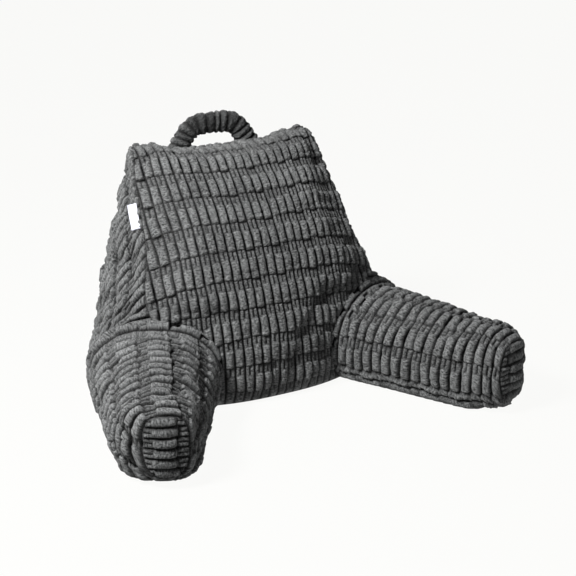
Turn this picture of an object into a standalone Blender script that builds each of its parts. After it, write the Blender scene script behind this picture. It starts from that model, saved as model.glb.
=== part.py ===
"""Reading pillow with arms, in wide-ribbed plush: a filled backrest wedge, two filled arms
that splay forward, a gathered carrying handle and a bare woven label.

Metres, +Z up. The front faces -Y and the pillow stands on z = 0.
Run: blender --background --python part.py
"""

import math

import bmesh
import bpy
import numpy as np

# Cloth: wide ribs, each one a row of long raised cells.
RIB = 0.0174  # pitch from rib to rib
CELL = 0.0535  # length of one raised cell along its rib
STRETCH = 1.13  # how far the cloth of the arms and sides is stretched, both ways
ROW_START = 0.40  # where on a cell the front panel starts
DROOP = 0.018  # near the seams a row of cells hangs down by this much
DROOP_FROM = 0.52  # share of the half width where it starts to
DROOP_FADE = 0.050
RIB_RISE = 0.0036  # crown of a rib above its groove
CELL_DIP = 0.45  # share of the rise that is lost at the end of a cell
CELL_END = 0.25  # share of a cell over which it is lost
COLUMNS = 3  # points across one rib: its groove and both sides of its crown
SEAM_INSET = 0.007  # a panel's last raised points stand this far from its seam
EDGE_RISE = 0.6  # share of a rib's rise that is left there
SEAM_SINK = 0.003  # how far a seam is drawn in
ROW_CLEAR = 0.006  # a row this near to a seam's own row is left out
LINE_CLEAR = 0.0026  # and so is a line of a rib
GAP = 0.0003  # left between pieces that touch
FOOT_FADE = 0.022  # the ribs flatten out over this height above the ground
FINE = 121  # samples along a curve that is measured

# Backrest outline, front foot round to back foot, one row per place:
# place, seam y, seam z, middle y, middle z, half width between the seams
OUTLINE = (
    ("front foot", 0.000, 0.000, -0.024, 0.000, 0.120),
    ("front roll", -0.002, 0.022, -0.040, 0.024, 0.120),
    ("belly", 0.000, 0.085, -0.040, 0.095, 0.142),
    ("arm joint", 0.040, 0.169, -0.010, 0.186, 0.228),
    ("front middle", 0.108, 0.300, 0.048, 0.306, 0.212),
    ("front top", 0.188, 0.415, 0.136, 0.405, 0.197),
    ("top front", 0.210, 0.446, 0.178, 0.437, 0.190),
    ("top back", 0.240, 0.451, 0.238, 0.442, 0.180),
    ("back top", 0.261, 0.422, 0.272, 0.416, 0.176),
    ("back middle", 0.278, 0.220, 0.302, 0.220, 0.203),
    ("back roll", 0.286, 0.024, 0.300, 0.024, 0.250),
    ("back foot", 0.275, 0.000, 0.285, 0.000, 0.240),
)
PLACES = [row[0] for row in OUTLINE]
JOINT_ROW = PLACES.index("arm joint")
CROWN_POWER = 2.6  # how squarely a panel fills out between its seams
EAR_RISE = (0.011, 0.004)  # the puffed top corners above the sagging middle, left and right
EAR_PLACE = 0.80  # share of the half width
EAR_SPREAD = 0.16
EAR_FROM = 0.40  # height at which the ears begin
EAR_FADE = 0.04
FRONT_ROW = CELL / 3  # rows of points round the front and the top
BACK_ROW = CELL / 2

# Arms. The joint is an upright plane, turned back by JOINT_TURN from straight across.
JOINT_CENTRE = (0.228, 0.040)
JOINT_TURN = math.radians(28)
ARM_TURN = math.radians(21.5)
TURN_OVER = 0.12  # length over which the turn settles
# distance along the arm, width, height
ARM_SECTIONS = (
    (0.000, 0.248, 0.169),
    (0.030, 0.240, 0.160),
    (0.110, 0.208, 0.156),
    (0.210, 0.172, 0.156),
    (0.280, 0.147, 0.154),
    (0.338, 0.136, 0.151),
)
TOP_POWER = 2.1  # how square a section is above its widest place: 2 is an ellipse
FOOT_POWER = 2.7
CAP_TOP_POWER = 3.0
CAP_FOOT_POWER = 2.3
SECTION_CENTRE = 0.46  # share of the height at which a section is widest
SECTION_FLAT = 0.30  # how far its lower half would reach below the ground
ARM_POINTS = 24  # points round a hoop
DOME_LENGTH = 0.062  # the end rounds in over this length, to its cap
CAP_WIDTH = 0.080
CAP_HEIGHT = 0.126
CAP_RISE = 0.015  # the tip lifts off the ground by this much
CAP_SHIFT = 0.012  # and its cap sits this far to the inner side
CAP_RIBS = 7
CAP_BULGE = 0.010
CAP_NARROW = 0.011  # half of the cap's shortest row

# Gusset ribs fan out from the joint plane to the top back corner.
GUSSET_RIBS = 20
# share of the front seam where a rib starts, where it ends: 0 to 1 on the base, 1 to 2 up the back
FAR_ENDS = (
    (0.00, 0.00),
    (0.15, 0.24),
    (0.35, 0.55),
    (0.55, 0.82),
    (0.70, 1.06),
    (0.85, 1.45),
    (1.00, 2.00),
)
BASE_BULGE = 0.024
DROP_FADE = 0.11  # share of the fan over which the ribs stop arching over like the arm
SWELL_TURN = 0.5  # share of the fan over which the swell turns to face straight out
FOOT_ROW = 0.0245  # a rib's last row above the ground, where it rounds under
# share of the fan from the joint plane, how far the cloth swells out beside that plane
GUSSET_FILL = (
    (0.00, 1.00),
    (0.13, 0.62),
    (0.28, 0.48),
    (0.42, 0.36),
    (0.70, 0.20),
    (1.00, 0.08),
)

# Handle: a gathered strap in an arch on the top edge.
# out from its middle, height above its feet
HANDLE_PATH = (
    (0.078, -0.002),
    (0.068, 0.028),
    (0.054, 0.0475),
    (0.026, 0.0540),
    (0.000, 0.0540),
)
HANDLE_Y = 0.260
HANDLE_FOOT_Z = 0.427
HANDLE_DEEP = 0.022
HANDLE_THICK = 0.032
HANDLE_RIDGES = 11
HANDLE_RIDGE_RISE = 0.0022
HANDLE_POINTS = 10  # points round a hoop
HANDLE_CLEAR = 3 * GAP  # between the trimmed feet and the ribbed top edge

# Label: a small tag that lies back over the left gusset from the front seam.
LABEL_PLACE = 0.43  # share of the seam from the arm joint to its top
LABEL_TALL = 0.050
LABEL_WIDE = 0.018
LABEL_THICK = 0.0014
LABEL_LEAN = math.radians(32)  # how far it stands off the gusset
LABEL_START = 0.006  # its sewn edge clears the seam by this much
LABEL_SET_DOWN = 0.0012  # and is set down towards the gusset, onto the pile

CHARCOAL = (0.105, 0.107, 0.108, 1.0)
LABEL_WHITE = (0.70, 0.71, 0.72, 1.0)


def smooth_read(knots, rows, at):
    """Read a table of rows along a smooth curve through them."""
    knots = np.asarray(knots, float)
    rows = np.asarray(rows, float)
    at = np.clip(np.asarray(at, float), knots[0], knots[-1])
    slopes = np.gradient(rows, knots, axis=0)
    i = np.clip(np.searchsorted(knots, at, side="right") - 1, 0, len(knots) - 2)
    step = (knots[i + 1] - knots[i])[..., None]
    f = (at - knots[i])[..., None] / step
    start = (2 * f**3 - 3 * f**2 + 1) * rows[i] + (f**3 - 2 * f**2 + f) * step * slopes[i]
    end = (3 * f**2 - 2 * f**3) * rows[i + 1] + (f**3 - f**2) * step * slopes[i + 1]
    return start + end


def ease(share):
    share = np.clip(share, 0, 1)
    return share * share * (3 - 2 * share)


def lengths(points):
    """Distance along a line of points, from its start."""
    steps = np.linalg.norm(np.diff(points, axis=0), axis=1)
    return np.concatenate([[0.0], np.cumsum(steps)])


def at_lengths(points, places):
    """Points of a line at the given distances along it."""
    run = lengths(points)
    return np.stack([np.interp(places, run, points[:, i]) for i in range(points.shape[1])], axis=1)


def relief(across, along):
    """Height of the ribbed pile, from a rib's place across and a cell's place along."""
    crown = 1.0 if round(across * COLUMNS) % COLUMNS else 0.0
    near_end = 1 - ease(abs((along + 0.5) % 1.0 - 0.5) / CELL_END)
    return RIB_RISE * crown * (1 - CELL_DIP * near_end)


class Skin:
    """A closed cloth surface: points with their pile height, laced row to row."""

    def __init__(self):
        self.mesh = bmesh.new()
        self.rise = self.mesh.verts.layers.float.new("rise")

    def point(self, place, rise=0.0):
        vert = self.mesh.verts.new(place)
        vert[self.rise] = rise * float(ease(place[2] / FOOT_FADE))
        return vert

    def face(self, verts):
        if len(set(verts)) == len(verts) > 2:
            self.mesh.faces.new(verts)

    def lace(self, first, second):
        """Close the band between two rows of (place, point), square where the places agree."""
        i = j = 0
        while i < len(first) - 1 or j < len(second) - 1:
            a = first[i + 1][0] if i < len(first) - 1 else math.inf
            b = second[j + 1][0] if j < len(second) - 1 else math.inf
            if abs(a - b) < 1e-6:
                self.face([first[i][1], first[i + 1][1], second[j + 1][1], second[j][1]])
                i += 1
                j += 1
            elif a < b:
                self.face([first[i][1], first[i + 1][1], second[j][1]])
                i += 1
            else:
                self.face([first[i][1], second[j + 1][1], second[j][1]])
                j += 1

    def finish(self, name, material):
        """Raise the pile along the surface and make the object."""
        bmesh.ops.recalc_face_normals(self.mesh, faces=self.mesh.faces)
        self.mesh.normal_update()
        for vert in self.mesh.verts:
            vert.co += vert.normal * vert[self.rise]
            vert.co.z = max(vert.co.z, 0.0)
        flat = [face for face in self.mesh.faces if len(face.verts) > 4]
        bmesh.ops.triangulate(self.mesh, faces=flat, ngon_method="BEAUTY")
        mesh = bpy.data.meshes.new(name)
        self.mesh.to_mesh(mesh)
        self.mesh.free()
        mesh.shade_smooth()
        mesh.materials.append(material)
        thing = bpy.data.objects.new(name, mesh)
        bpy.context.collection.objects.link(thing)
        return thing


# The backrest's outline.
OUTLINE_SIZES = np.array([row[1:] for row in OUTLINE])
OUTLINE_AT = lengths(OUTLINE_SIZES[:, 2:4])
AT_JOINT = OUTLINE_AT[JOINT_ROW]
AT_TOP = OUTLINE_AT[PLACES.index("back top")]
AT_END = OUTLINE_AT[-1]


def outline(at):
    """Seam y and z, middle y and z, half width, at distances round the outline."""
    sizes = smooth_read(OUTLINE_AT, OUTLINE_SIZES, at)
    below = np.asarray(at) < AT_JOINT
    for number in np.flatnonzero(below):
        sizes[number, 4], sizes[number, 0] = crease(sizes[number, 1])
    return sizes


def crease(height):
    """Where the front meets the right arm at a height: x and y."""
    _, inner = joint_face()
    out = np.interp(height, inner[:, 1], inner[:, 0])
    return arm_place(0.0, 1, out, height)[:2]


def seam_points(at, side):
    sizes = outline(np.atleast_1d(at))
    return np.stack([side * sizes[:, 4], sizes[:, 0], sizes[:, 1]], axis=1)


def panel_point(sizes, x):
    """A point of the front, top or back panel: drawn in at the seams, filled between them."""
    seam_y, seam_z, middle_y, middle_z, half = sizes
    u = abs(x) / half
    crown = 1 - u**CROWN_POWER
    ear = EAR_RISE[int(x > 0)] * math.exp(-(((u - EAR_PLACE) / EAR_SPREAD) ** 2)) * crown**0.5
    ear *= float(ease((seam_z - EAR_FROM) / EAR_FADE))
    y = seam_y + (middle_y - seam_y) * crown
    return (x, y, seam_z + (middle_z - seam_z) * crown + ear)


def evenly(start, end, step):
    return np.linspace(start, end, max(2, round((end - start) / step) + 1))


def outline_rows():
    """Places of the rows round the backrest: three to a cell on the front, fewer on the back."""
    roll, back_roll = OUTLINE_AT[1], OUTLINE_AT[-2]
    thirds = np.arange(int(3 * AT_TOP / CELL) + 3)
    front = (thirds / 3 - ROW_START) * CELL
    front = front[(front > roll + ROW_CLEAR) & (front < AT_TOP - ROW_CLEAR)]
    back = evenly(AT_TOP, back_roll, BACK_ROW)
    foot = [0.0, roll / 2, roll]
    return np.concatenate([foot, front, back, [(back_roll + AT_END) / 2, AT_END]])


def panel_row(skin, at):
    """One row across the panels, as (x, point) from the left seam to the right one, and where it meets them."""
    droop = DROOP * float(ease((at - OUTLINE_AT[1]) / DROOP_FADE) * ease((AT_TOP - at) / DROOP_FADE))
    half = outline(np.array([at - droop]))[0][4]
    reach = half - SEAM_INSET
    count = int(half / RIB) * COLUMNS + COLUMNS
    places = [RIB / 2 + i * RIB / COLUMNS for i in range(-count, count + COLUMNS)]
    rises = [relief(i / COLUMNS, at / CELL + ROW_START) for i in range(-count, count + COLUMNS)]
    inner = [(x, rise) for x, rise in zip(places, rises) if abs(x) < reach - LINE_CLEAR]
    edge = EDGE_RISE * RIB_RISE * float(ease(abs(at - AT_JOINT) / CELL))
    wanted = [(-reach, edge), *inner, (reach, edge)]
    x = np.array([place for place, _ in wanted])
    hang = droop * ease((np.abs(x) / reach - DROOP_FROM) / (1 - DROOP_FROM))
    row = []
    for sizes, (place, rise) in zip(outline(at - hang), wanted):
        row.append((place, skin.point(panel_point(sizes, place), rise)))
    return row, at - droop


# Arm sections.
def section_sizes(along):
    """Width, height, the shares left of both by the domed end, and how far into that end it is."""
    table = np.array(ARM_SECTIONS)
    width, height = smooth_read(table[:, 0], table[:, 1:], np.array([along]))[0]
    into = max(0.0, (along - ARM_SECTIONS[-1][0] + DOME_LENGTH) / DOME_LENGTH)
    slim = math.sqrt(1 - (1 - (CAP_WIDTH / width) ** 2) * into**2)
    low = math.sqrt(1 - (1 - (CAP_HEIGHT / height) ** 2) * into**2)
    return width, height, slim, low, into


def section_outline(along, count):
    """A closed hoop of count points: (out from the arm's middle, height), from the ridge outwards."""
    width, height, slim, low, into = section_sizes(along)
    centre = height * SECTION_CENTRE
    angles = np.linspace(math.pi / 2, -1.5 * math.pi, 4 * FINE)
    top = TOP_POWER + (CAP_TOP_POWER - TOP_POWER) * into
    foot = FOOT_POWER + (CAP_FOOT_POWER - FOOT_POWER) * into
    power = np.where(np.sin(angles) > 0, 2 / top, 2 / foot)
    out = width / 2 * np.sign(np.cos(angles)) * np.abs(np.cos(angles)) ** power
    up = np.sign(np.sin(angles)) * np.abs(np.sin(angles)) ** power
    reach = np.where(up > 0, height - centre, centre * (1 + SECTION_FLAT * (1 - into)))
    rise = np.maximum(centre + up * reach, 0.0)
    rise = centre + (rise - centre) * low + CAP_RISE * into**2
    line = np.stack([out * slim - CAP_SHIFT * into**2, rise], axis=1)
    return at_lengths(line, np.linspace(0, lengths(line)[-1], count, endpoint=False))


def arm_frame(along, side):
    """The middle of the arm on the ground, and the direction out across it."""
    turn = JOINT_TURN + (ARM_TURN - JOINT_TURN) * float(ease(along / TURN_OVER))
    middle = np.array(JOINT_CENTRE) + along * np.array([math.sin(ARM_TURN), -math.cos(ARM_TURN)])
    out = np.array([math.cos(turn), math.sin(turn)])
    return middle * (side, 1), out * (side, 1)


def arm_place(along, side, out, up):
    middle, across = arm_frame(along, side)
    ground = middle + across * out
    return (ground[0], ground[1], up)


def arm_stations():
    """Hoop places along the arm, even over its side and round its domed end, COLUMNS to a rib."""
    along = np.linspace(0, ARM_SECTIONS[-1][0], 4 * FINE)
    side = []
    for place in along:
        width, _, slim, _, _ = section_sizes(place)
        side.append(width * slim / 2)
    run = lengths(np.stack([along, side], axis=1))
    count = COLUMNS * round(run[-1] / (RIB * STRETCH))
    return np.interp(np.linspace(0, run[-1], count + 1), run, along)


def joint_face():
    """The arm's section in the joint plane: ridge to outer foot, and inner foot to ridge."""
    hoop = section_outline(0.0, 8 * FINE)
    outer = hoop[(hoop[:, 0] >= 0) & (hoop[:, 1] > 0)]
    inner = hoop[(hoop[:, 0] <= 0) & (hoop[:, 1] > 0)]
    outer = outer[np.argsort(-outer[:, 1], kind="stable")]
    inner = inner[np.argsort(inner[:, 1], kind="stable")]
    flat = hoop[hoop[:, 1] <= 0]
    outer = np.vstack([outer, [flat[:, 0].max(), 0.0]])
    inner = np.vstack([[flat[:, 0].min(), 0.0], inner])
    return outer, inner


def far_edge(share, side):
    """Where a gusset rib ends: on the base edge, or further on up the back seam."""
    outer, _ = joint_face()
    start = np.array(arm_place(0.0, side, outer[-1, 0], 0.0))
    corner = seam_points(AT_END, side)[0]
    table = np.array(FAR_ENDS)
    run = smooth_read(table[:, 0], table[:, 1:], np.array([share]))[0, 0]
    if run >= 1:
        at = AT_END + (AT_TOP - AT_END) * (run - 1)
        return at, seam_points(at, side)[0]
    edge = corner - start
    out = np.array([side * edge[1], -side * edge[0], 0.0]) / np.linalg.norm(edge)
    return None, start + edge * run + out * BASE_BULGE * math.sin(math.pi * run)


def rib_line(share, side):
    """One line of the gusset's fan, finely sampled from the front seam to its far edge."""
    at = AT_JOINT + (AT_TOP - AT_JOINT) * share
    start = seam_points(at, side)[0]
    _, end = far_edge(share, side)
    outer, _ = joint_face()
    hoop = at_lengths(outer, np.linspace(0, lengths(outer)[-1], FINE))
    run = np.linspace(0, 1, FINE)[:, None]
    swell = hoop - (hoop[0] + (hoop[-1] - hoop[0]) * run)
    _, across = arm_frame(0.0, side)
    across = across + (np.array([side, 0.0]) - across) * float(ease(share / SWELL_TURN))
    table = np.array(GUSSET_FILL)
    puff = smooth_read(table[:, 0], table[:, 1:], np.array([share]))[0, 0]
    line = start + (end - start) * run
    line[:, :2] += across * swell[:, :1] * puff
    line[:, 2] += swell[:, 1] * (1 - float(ease(share / DROP_FADE)))
    return line


def rib_places(length, to_ground):
    """Distances of a rib's points along it, drawn in to a seam at both ends."""
    if length < 3 * SEAM_INSET:
        return [0.0, length] if length > SEAM_INSET / 2 else [0.0]
    ends = [0.0, SEAM_INSET, length - SEAM_INSET, length]
    if to_ground:
        ends.insert(2, length - FOOT_ROW)
    steps = [i * CELL * STRETCH / 2 for i in range(1, int(2 * length / (CELL * STRETCH)) + 1)]
    inner = [at for at in steps if ends[1] + ROW_CLEAR < at < ends[2] - ROW_CLEAR]
    return sorted(ends + inner)


def gusset(skin, side):
    """The fan of ribs on one side. Returns its points on the seam, with their outline places."""
    count = GUSSET_RIBS * COLUMNS
    seam, back = [], []
    previous = None
    for number in range(count + 1):
        share = number / count
        line = rib_line(share, side)
        length = lengths(line)[-1]
        at_far, _ = far_edge(share, side)
        places = rib_places(length, at_far is None)
        column = []
        for place, position in zip(places, at_lengths(line, places)):
            rise = relief(number / COLUMNS, place / (CELL * STRETCH))
            if place in (places[0], places[-1]):
                rise = -SEAM_SINK
            elif place in (places[1], places[-2]):
                rise *= EDGE_RISE
            if number == 0:
                rise = 0.0
            column.append((place, skin.point(position, rise)))
        if previous:
            skin.lace(previous, column)
        else:
            first = column
        previous = column
        seam.append((AT_JOINT + (AT_TOP - AT_JOINT) * share, column[0][1]))
        if at_far is not None and number < count:
            back.append((at_far, column[-1][1]))
    return first, seam + back[::-1]


def backrest(material):
    """The filled wedge: panels round it, a gusset at each side, joint faces and a flat base."""
    skin = Skin()
    places = outline_rows()
    laid = [panel_row(skin, at) for at in places]
    rows = [row for row, _ in laid]
    for lower, upper in zip(rows, rows[1:]):
        skin.lace(lower, upper)
    for side, end in ((-1, 0), (1, -1)):
        border = [(at, row[end][1]) for row, at in laid]
        first, seam = gusset(skin, side)
        _, inner = joint_face()
        run = lengths(inner)[-1]
        heights = OUTLINE_SIZES[: JOINT_ROW + 1, 1]
        fold = []
        for out, up in at_lengths(inner, np.arange(0.0, run - SEAM_INSET, FRONT_ROW)):
            at = np.interp(up, heights, OUTLINE_AT[: JOINT_ROW + 1])
            fold.append((at, skin.point(arm_place(0.0, side, out, up))))
        skin.lace(border, fold + seam)
        skin.face([vert for _, vert in fold + first])
    bmesh.ops.edgeloop_fill(skin.mesh, edges=[e for e in skin.mesh.edges if e.is_boundary])
    return skin.finish("backrest", material)


def arm(name, side, material):
    """A filled arm: ribbed hoops, flat underneath, closed by a sewn oval cap."""
    skin = Skin()
    stations = arm_stations()
    hoops = []
    for number, along in enumerate(stations):
        hoop = []
        for place, (out, up) in enumerate(section_outline(along, ARM_POINTS)):
            rise = relief(number / COLUMNS, place / 2)
            if number == 0:
                rise = 0.0
            elif number == len(stations) - 1:
                rise = -SEAM_SINK
            hoop.append((place, skin.point(arm_place(along, side, out, up), rise)))
        hoop.append((ARM_POINTS, hoop[0][1]))
        hoops.append(hoop)
    for nearer, further in zip(hoops, hoops[1:]):
        skin.lace(nearer, further)
    skin.face([vert for _, vert in hoops[0][:-1]])
    cap(skin, side, hoops[-1][:-1])
    for vert in skin.mesh.verts:
        vert.co.x += side * math.sin(JOINT_TURN) * GAP
        vert.co.y -= math.cos(JOINT_TURN) * GAP
    return skin.finish(name, material)


def cap(skin, side, hoop):
    """The oval end of an arm, with its ribs level across it, laced to the last hoop."""
    along = ARM_SECTIONS[-1][0]
    _, height, _, low, _ = section_sizes(along)
    centre = height * SECTION_CENTRE + CAP_RISE
    above = height * (1 - SECTION_CENTRE) * low
    below = height * SECTION_CENTRE * low
    rows = []
    for number in range(CAP_RIBS * COLUMNS + 1):
        up = number / (CAP_RIBS * COLUMNS) * (above + below) - below
        reach, power = (above, CAP_TOP_POWER) if up > 0 else (below, CAP_FOOT_POWER)
        level = abs(up) / (reach - SEAM_INSET)
        if level > 1:
            continue
        half = CAP_WIDTH / 2 * (1 - level**power) ** (1 / power)
        half = max(half - SEAM_INSET, CAP_NARROW)
        inner = [x for x in (-CELL / 2, 0.0, CELL / 2) if abs(x) < half - SEAM_INSET / 2]
        row = []
        for out in [-half] + inner + [half]:
            bulge = CAP_BULGE * (1 - (2 * out / CAP_WIDTH) ** 2) * (1 - (up / reach) ** 2)
            position = arm_place(along + bulge, side, out - CAP_SHIFT, centre + up)
            rise = relief(number / COLUMNS, out / CELL)
            row.append((out, skin.point(position, rise), up))
        rows.append(row)
    for lower, upper in zip(rows, rows[1:]):
        skin.lace([item[:2] for item in lower], [item[:2] for item in upper])
    edge = rows[0] + rows[-1] + [row[0] for row in rows[1:-1]] + [row[-1] for row in rows[1:-1]]
    border = sorted((math.atan2(out, up) % math.tau, vert.index, vert) for out, vert, up in edge)
    border = [(angle, vert) for angle, _, vert in border]
    border.append((border[0][0] + math.tau, border[0][1]))
    rim = []
    for (out, up), (_, vert) in zip(section_outline(along, ARM_POINTS), hoop):
        rim.append((math.atan2(out + CAP_SHIFT, up - centre) % math.tau, vert))
    rim.append((rim[0][0] + math.tau, rim[0][1]))
    skin.lace(rim, border)


def plush(name, colour):
    """Cloth: rough, without metal."""
    material = bpy.data.materials.new(name)
    material.use_nodes = True
    shader = material.node_tree.nodes["Principled BSDF"]
    shader.inputs["Base Color"].default_value = colour
    shader.inputs["Roughness"].default_value = 0.95
    shader.inputs["Metallic"].default_value = 0.0
    return material


def handle_line(count):
    """The middle of the strap, foot to foot: (across, height above the feet)."""
    half = np.array(HANDLE_PATH)
    knots = np.concatenate([half * (-1, 1), half[-2::-1]])
    run = lengths(knots)
    fine = smooth_read(run, knots, np.linspace(0, run[-1], FINE))
    return at_lengths(fine, np.linspace(0, lengths(fine)[-1], count))


def handle(material, body):
    """The gathered strap: ridged hoops along an arch, its feet trimmed to the top edge."""
    skin = Skin()
    path = handle_line(2 * HANDLE_RIDGES + 1)
    heading = np.gradient(path, axis=0)
    heading /= np.linalg.norm(heading, axis=1)[:, None]
    hoops = []
    for number, ((x, rise), (run_x, run_z)) in enumerate(zip(path, heading)):
        ridge = HANDLE_RIDGE_RISE if number % 2 else 0.0
        hoop = []
        for place in range(HANDLE_POINTS):
            turn = math.tau * place / HANDLE_POINTS
            out = (HANDLE_THICK / 2 + ridge) * math.cos(turn)
            y = HANDLE_Y + (HANDLE_DEEP / 2 + ridge) * math.sin(turn)
            spot = (x - run_z * out, y, HANDLE_FOOT_Z + rise + run_x * out)
            hoop.append((place, skin.point(spot)))
        hoop.append((HANDLE_POINTS, hoop[0][1]))
        hoops.append(hoop)
    for nearer, further in zip(hoops, hoops[1:]):
        skin.lace(nearer, further)
    for hoop in (hoops[0], hoops[-1]):
        skin.face([vert for _, vert in hoop[:-1]])
    strap = skin.finish("handle", material)
    cutter = bpy.data.objects.new("top_edge_cutter", body.data.copy())
    bpy.context.collection.objects.link(cutter)
    for vert in cutter.data.vertices:
        vert.co += vert.normal * HANDLE_CLEAR
    cutter.hide_render = True
    cutter.display_type = "WIRE"
    trim = strap.modifiers.new("trim", "BOOLEAN")
    trim.operation = "DIFFERENCE"
    trim.solver = "EXACT"
    trim.object = cutter
    return strap


def label(material):
    """A thin tag that lies back from the left front seam, over the gusset."""
    side = -1
    at = AT_JOINT + (AT_TOP - AT_JOINT) * LABEL_PLACE
    near, start, far = seam_points([at - LABEL_TALL / 2, at, at + LABEL_TALL / 2], side)
    up = (far - near) / np.linalg.norm(far - near)
    line = rib_line(LABEL_PLACE, side)
    back = at_lengths(line, [LABEL_WIDE])[0] - start
    back -= up * back.dot(up)
    back /= np.linalg.norm(back)
    out = np.cross(up, back)
    out *= math.copysign(1.0, out[0] * side)
    reach = back * math.cos(LABEL_LEAN) + out * math.sin(LABEL_LEAN)
    thick = (out * math.cos(LABEL_LEAN) - back * math.sin(LABEL_LEAN)) * LABEL_THICK
    mesh = bmesh.new()
    corners = []
    for depth in (0, 1):
        for along, across in ((-1, 0), (1, 0), (1, 1), (-1, 1)):
            spot = start + reach * (LABEL_START + across * LABEL_WIDE) - out * LABEL_SET_DOWN
            spot = spot + up * along * LABEL_TALL / 2 + thick * depth
            corners.append(mesh.verts.new(spot))
    mesh.faces.new(corners[:4])
    mesh.faces.new(corners[4:])
    for i in range(4):
        j = (i + 1) % 4
        mesh.faces.new([corners[i], corners[j], corners[j + 4], corners[i + 4]])
    bmesh.ops.recalc_face_normals(mesh, faces=mesh.faces)
    data = bpy.data.meshes.new("label")
    mesh.to_mesh(data)
    mesh.free()
    data.materials.append(material)
    thing = bpy.data.objects.new("label", data)
    bpy.context.collection.objects.link(thing)
    return thing


def main():
    for thing in list(bpy.data.objects):
        bpy.data.objects.remove(thing)
    charcoal = plush("charcoal_plush", CHARCOAL)
    body = backrest(charcoal)
    arm("arm_left", -1, plush("charcoal_plush_left", CHARCOAL))
    arm("arm_right", 1, plush("charcoal_plush_right", CHARCOAL))
    handle(plush("charcoal_plush_strap", CHARCOAL), body)
    label(plush("label_weave", LABEL_WHITE))


main()
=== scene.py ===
# %% [markdown]
# # A reading pillow with arms, in wide-ribbed plush
# The pillow is a filled wedge with two filled arms, all in one charcoal plush whose pile stands in
# wide ribs of long raised cells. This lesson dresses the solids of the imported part: it builds each
# filled piece again as fine cloth, lets a cloth simulation plump it, raises the pile, and then mixes
# the plush, the strap and the ribbon, the light and the camera.

import math

import bmesh
import bpy
import numpy as np
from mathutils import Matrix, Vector, kdtree, noise


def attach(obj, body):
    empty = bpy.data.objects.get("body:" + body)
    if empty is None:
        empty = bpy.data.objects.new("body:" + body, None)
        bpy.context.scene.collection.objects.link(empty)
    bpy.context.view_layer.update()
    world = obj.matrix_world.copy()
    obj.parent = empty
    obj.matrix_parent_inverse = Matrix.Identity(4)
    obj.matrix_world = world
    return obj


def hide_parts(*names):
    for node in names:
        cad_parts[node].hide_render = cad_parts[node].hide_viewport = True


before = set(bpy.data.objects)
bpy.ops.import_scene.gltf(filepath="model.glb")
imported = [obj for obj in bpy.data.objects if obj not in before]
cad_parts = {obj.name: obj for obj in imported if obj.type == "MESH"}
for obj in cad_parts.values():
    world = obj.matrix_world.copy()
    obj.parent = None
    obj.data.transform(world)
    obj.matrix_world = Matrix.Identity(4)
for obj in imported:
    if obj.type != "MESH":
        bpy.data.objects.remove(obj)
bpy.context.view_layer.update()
bpy.ops.object.select_all(action="DESELECT")
print("nodes:", sorted(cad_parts))

# %% [markdown]
# ## The cloth
# The plush is woven and then brushed: bare ground cloth shows in the grooves between ribs 17.4 mm
# apart, and painted shade darkens them further. Along each rib the pile repeats every 53.5 mm. The
# lower two thirds of a cell are one round ended bolster, and the upper third is split by a slit into
# two lower prongs. All panels are cut from
# this cloth, so its sizes are named once and every panel reads them in its own direction. The filling
# stretches it over the arms and sides.

# %% Sizes of the cloth, in metres
RIB = 0.0174  # from groove to groove
CELL = 0.0535  # length of one cell along its rib
STRETCH = 1.13  # how far the cloth of the arms and sides is stretched, both ways
ROW_START = 0.40  # where on a cell the front panel starts
BOLSTER = 0.0368  # length of the bolster in a cell
PILE = 0.0066  # height of a bolster above the ground cloth
PRONG_PILE = 0.0038
SINK = 0.0038  # how far the ground cloth lies under the panel's own surface
GROOVE = 0.0012  # half the width of a groove
SLIT = 0.0006  # half the width of a slit
ROW_GAP = 0.0004  # between two rows of cells
SIDE_EDGE = 0.0046  # a bolster rounds off over this width at its sides,
LOW_EDGE = 0.0036  # its lower end
HIGH_EDGE = 0.0018  # and its upper end, where it steps down to the prongs
PRONG_EDGE = 0.0030
PRONG_PAINTED_SHADE = 0.76  # painted shade: how bright the lower prongs look beside the bolsters
STEP_PAINTED_SHADE = 0.55  # painted shade along the step from a bolster down to its prongs: how dark
STEP_SHADE_WIDE = 0.0009  # width of that painted shade line
BEND = 0.0016  # the ends of a bolster curve round by this much
CREASE = 0.0020  # a crease across a bolster, where the pile parts
CREASE_WIDE = 0.0016
CREASE_AT = 0.0085  # how far up a bolster its crease lies at least,
CREASE_SPREAD = 0.005  # how much further at most,
CREASE_SWAY = 0.0012  # and how far it sways
ROW_PUFF = 0.0016  # each row of cells swells this much more in its middle
CELL_SHIFT = 0.0016  # cells are woven a little early or late
LENGTH_SPREAD = 0.004  # longer or shorter,
PILE_SPREAD = 0.24  # and fuller or flatter, as a share of the pile
SLIT_OPEN = 0.002  # a slit opens over this length
FULL_PILE = 1.30  # the pile of the arms and sides stands open, this many times as high,
OPEN_SINK = 1.6  # and the ground under it lies lower by this share of what that adds
SEAM_FADE = 0.0030  # the pile lies down towards a seam,
BACK_SEAM_FADE = 0.022  # and over a longer way towards the back seam
GROUND_FADE = 0.016  # it is pressed flat where the pillow stands
SEED = 7
REPEAT = 64  # ribs and cells after which the chances come round again

chance = np.random.default_rng(SEED).random((6, REPEAT, REPEAT))
noise.seed_set(SEED)  # or the ribs would wander differently each time Blender starts
print("in a metre of cloth:", round(1 / RIB), "ribs across or", round(1 / CELL), "cells along")

# %% [markdown]
# ## The pile
# One function gives the pile for any place on the cloth: the rounded bolster with its crease, and the
# two prongs with their slit. It also says how near the top of the pile a place is, which sets the
# painted shade on the colour, darker on the prongs and along the step down to them.

# %% Height of the pile
def soft_step(share):
    share = np.clip(share, 0.0, 1.0)
    return share * share * (3 - 2 * share)


def dome(depth, edge):
    """A round shoulder: 0 at the edge of a tuft, 1 from edge inwards."""
    share = np.clip(depth / edge, 0.0, 1.0)
    return np.sqrt(1 - (1 - share) ** 2)


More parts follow.
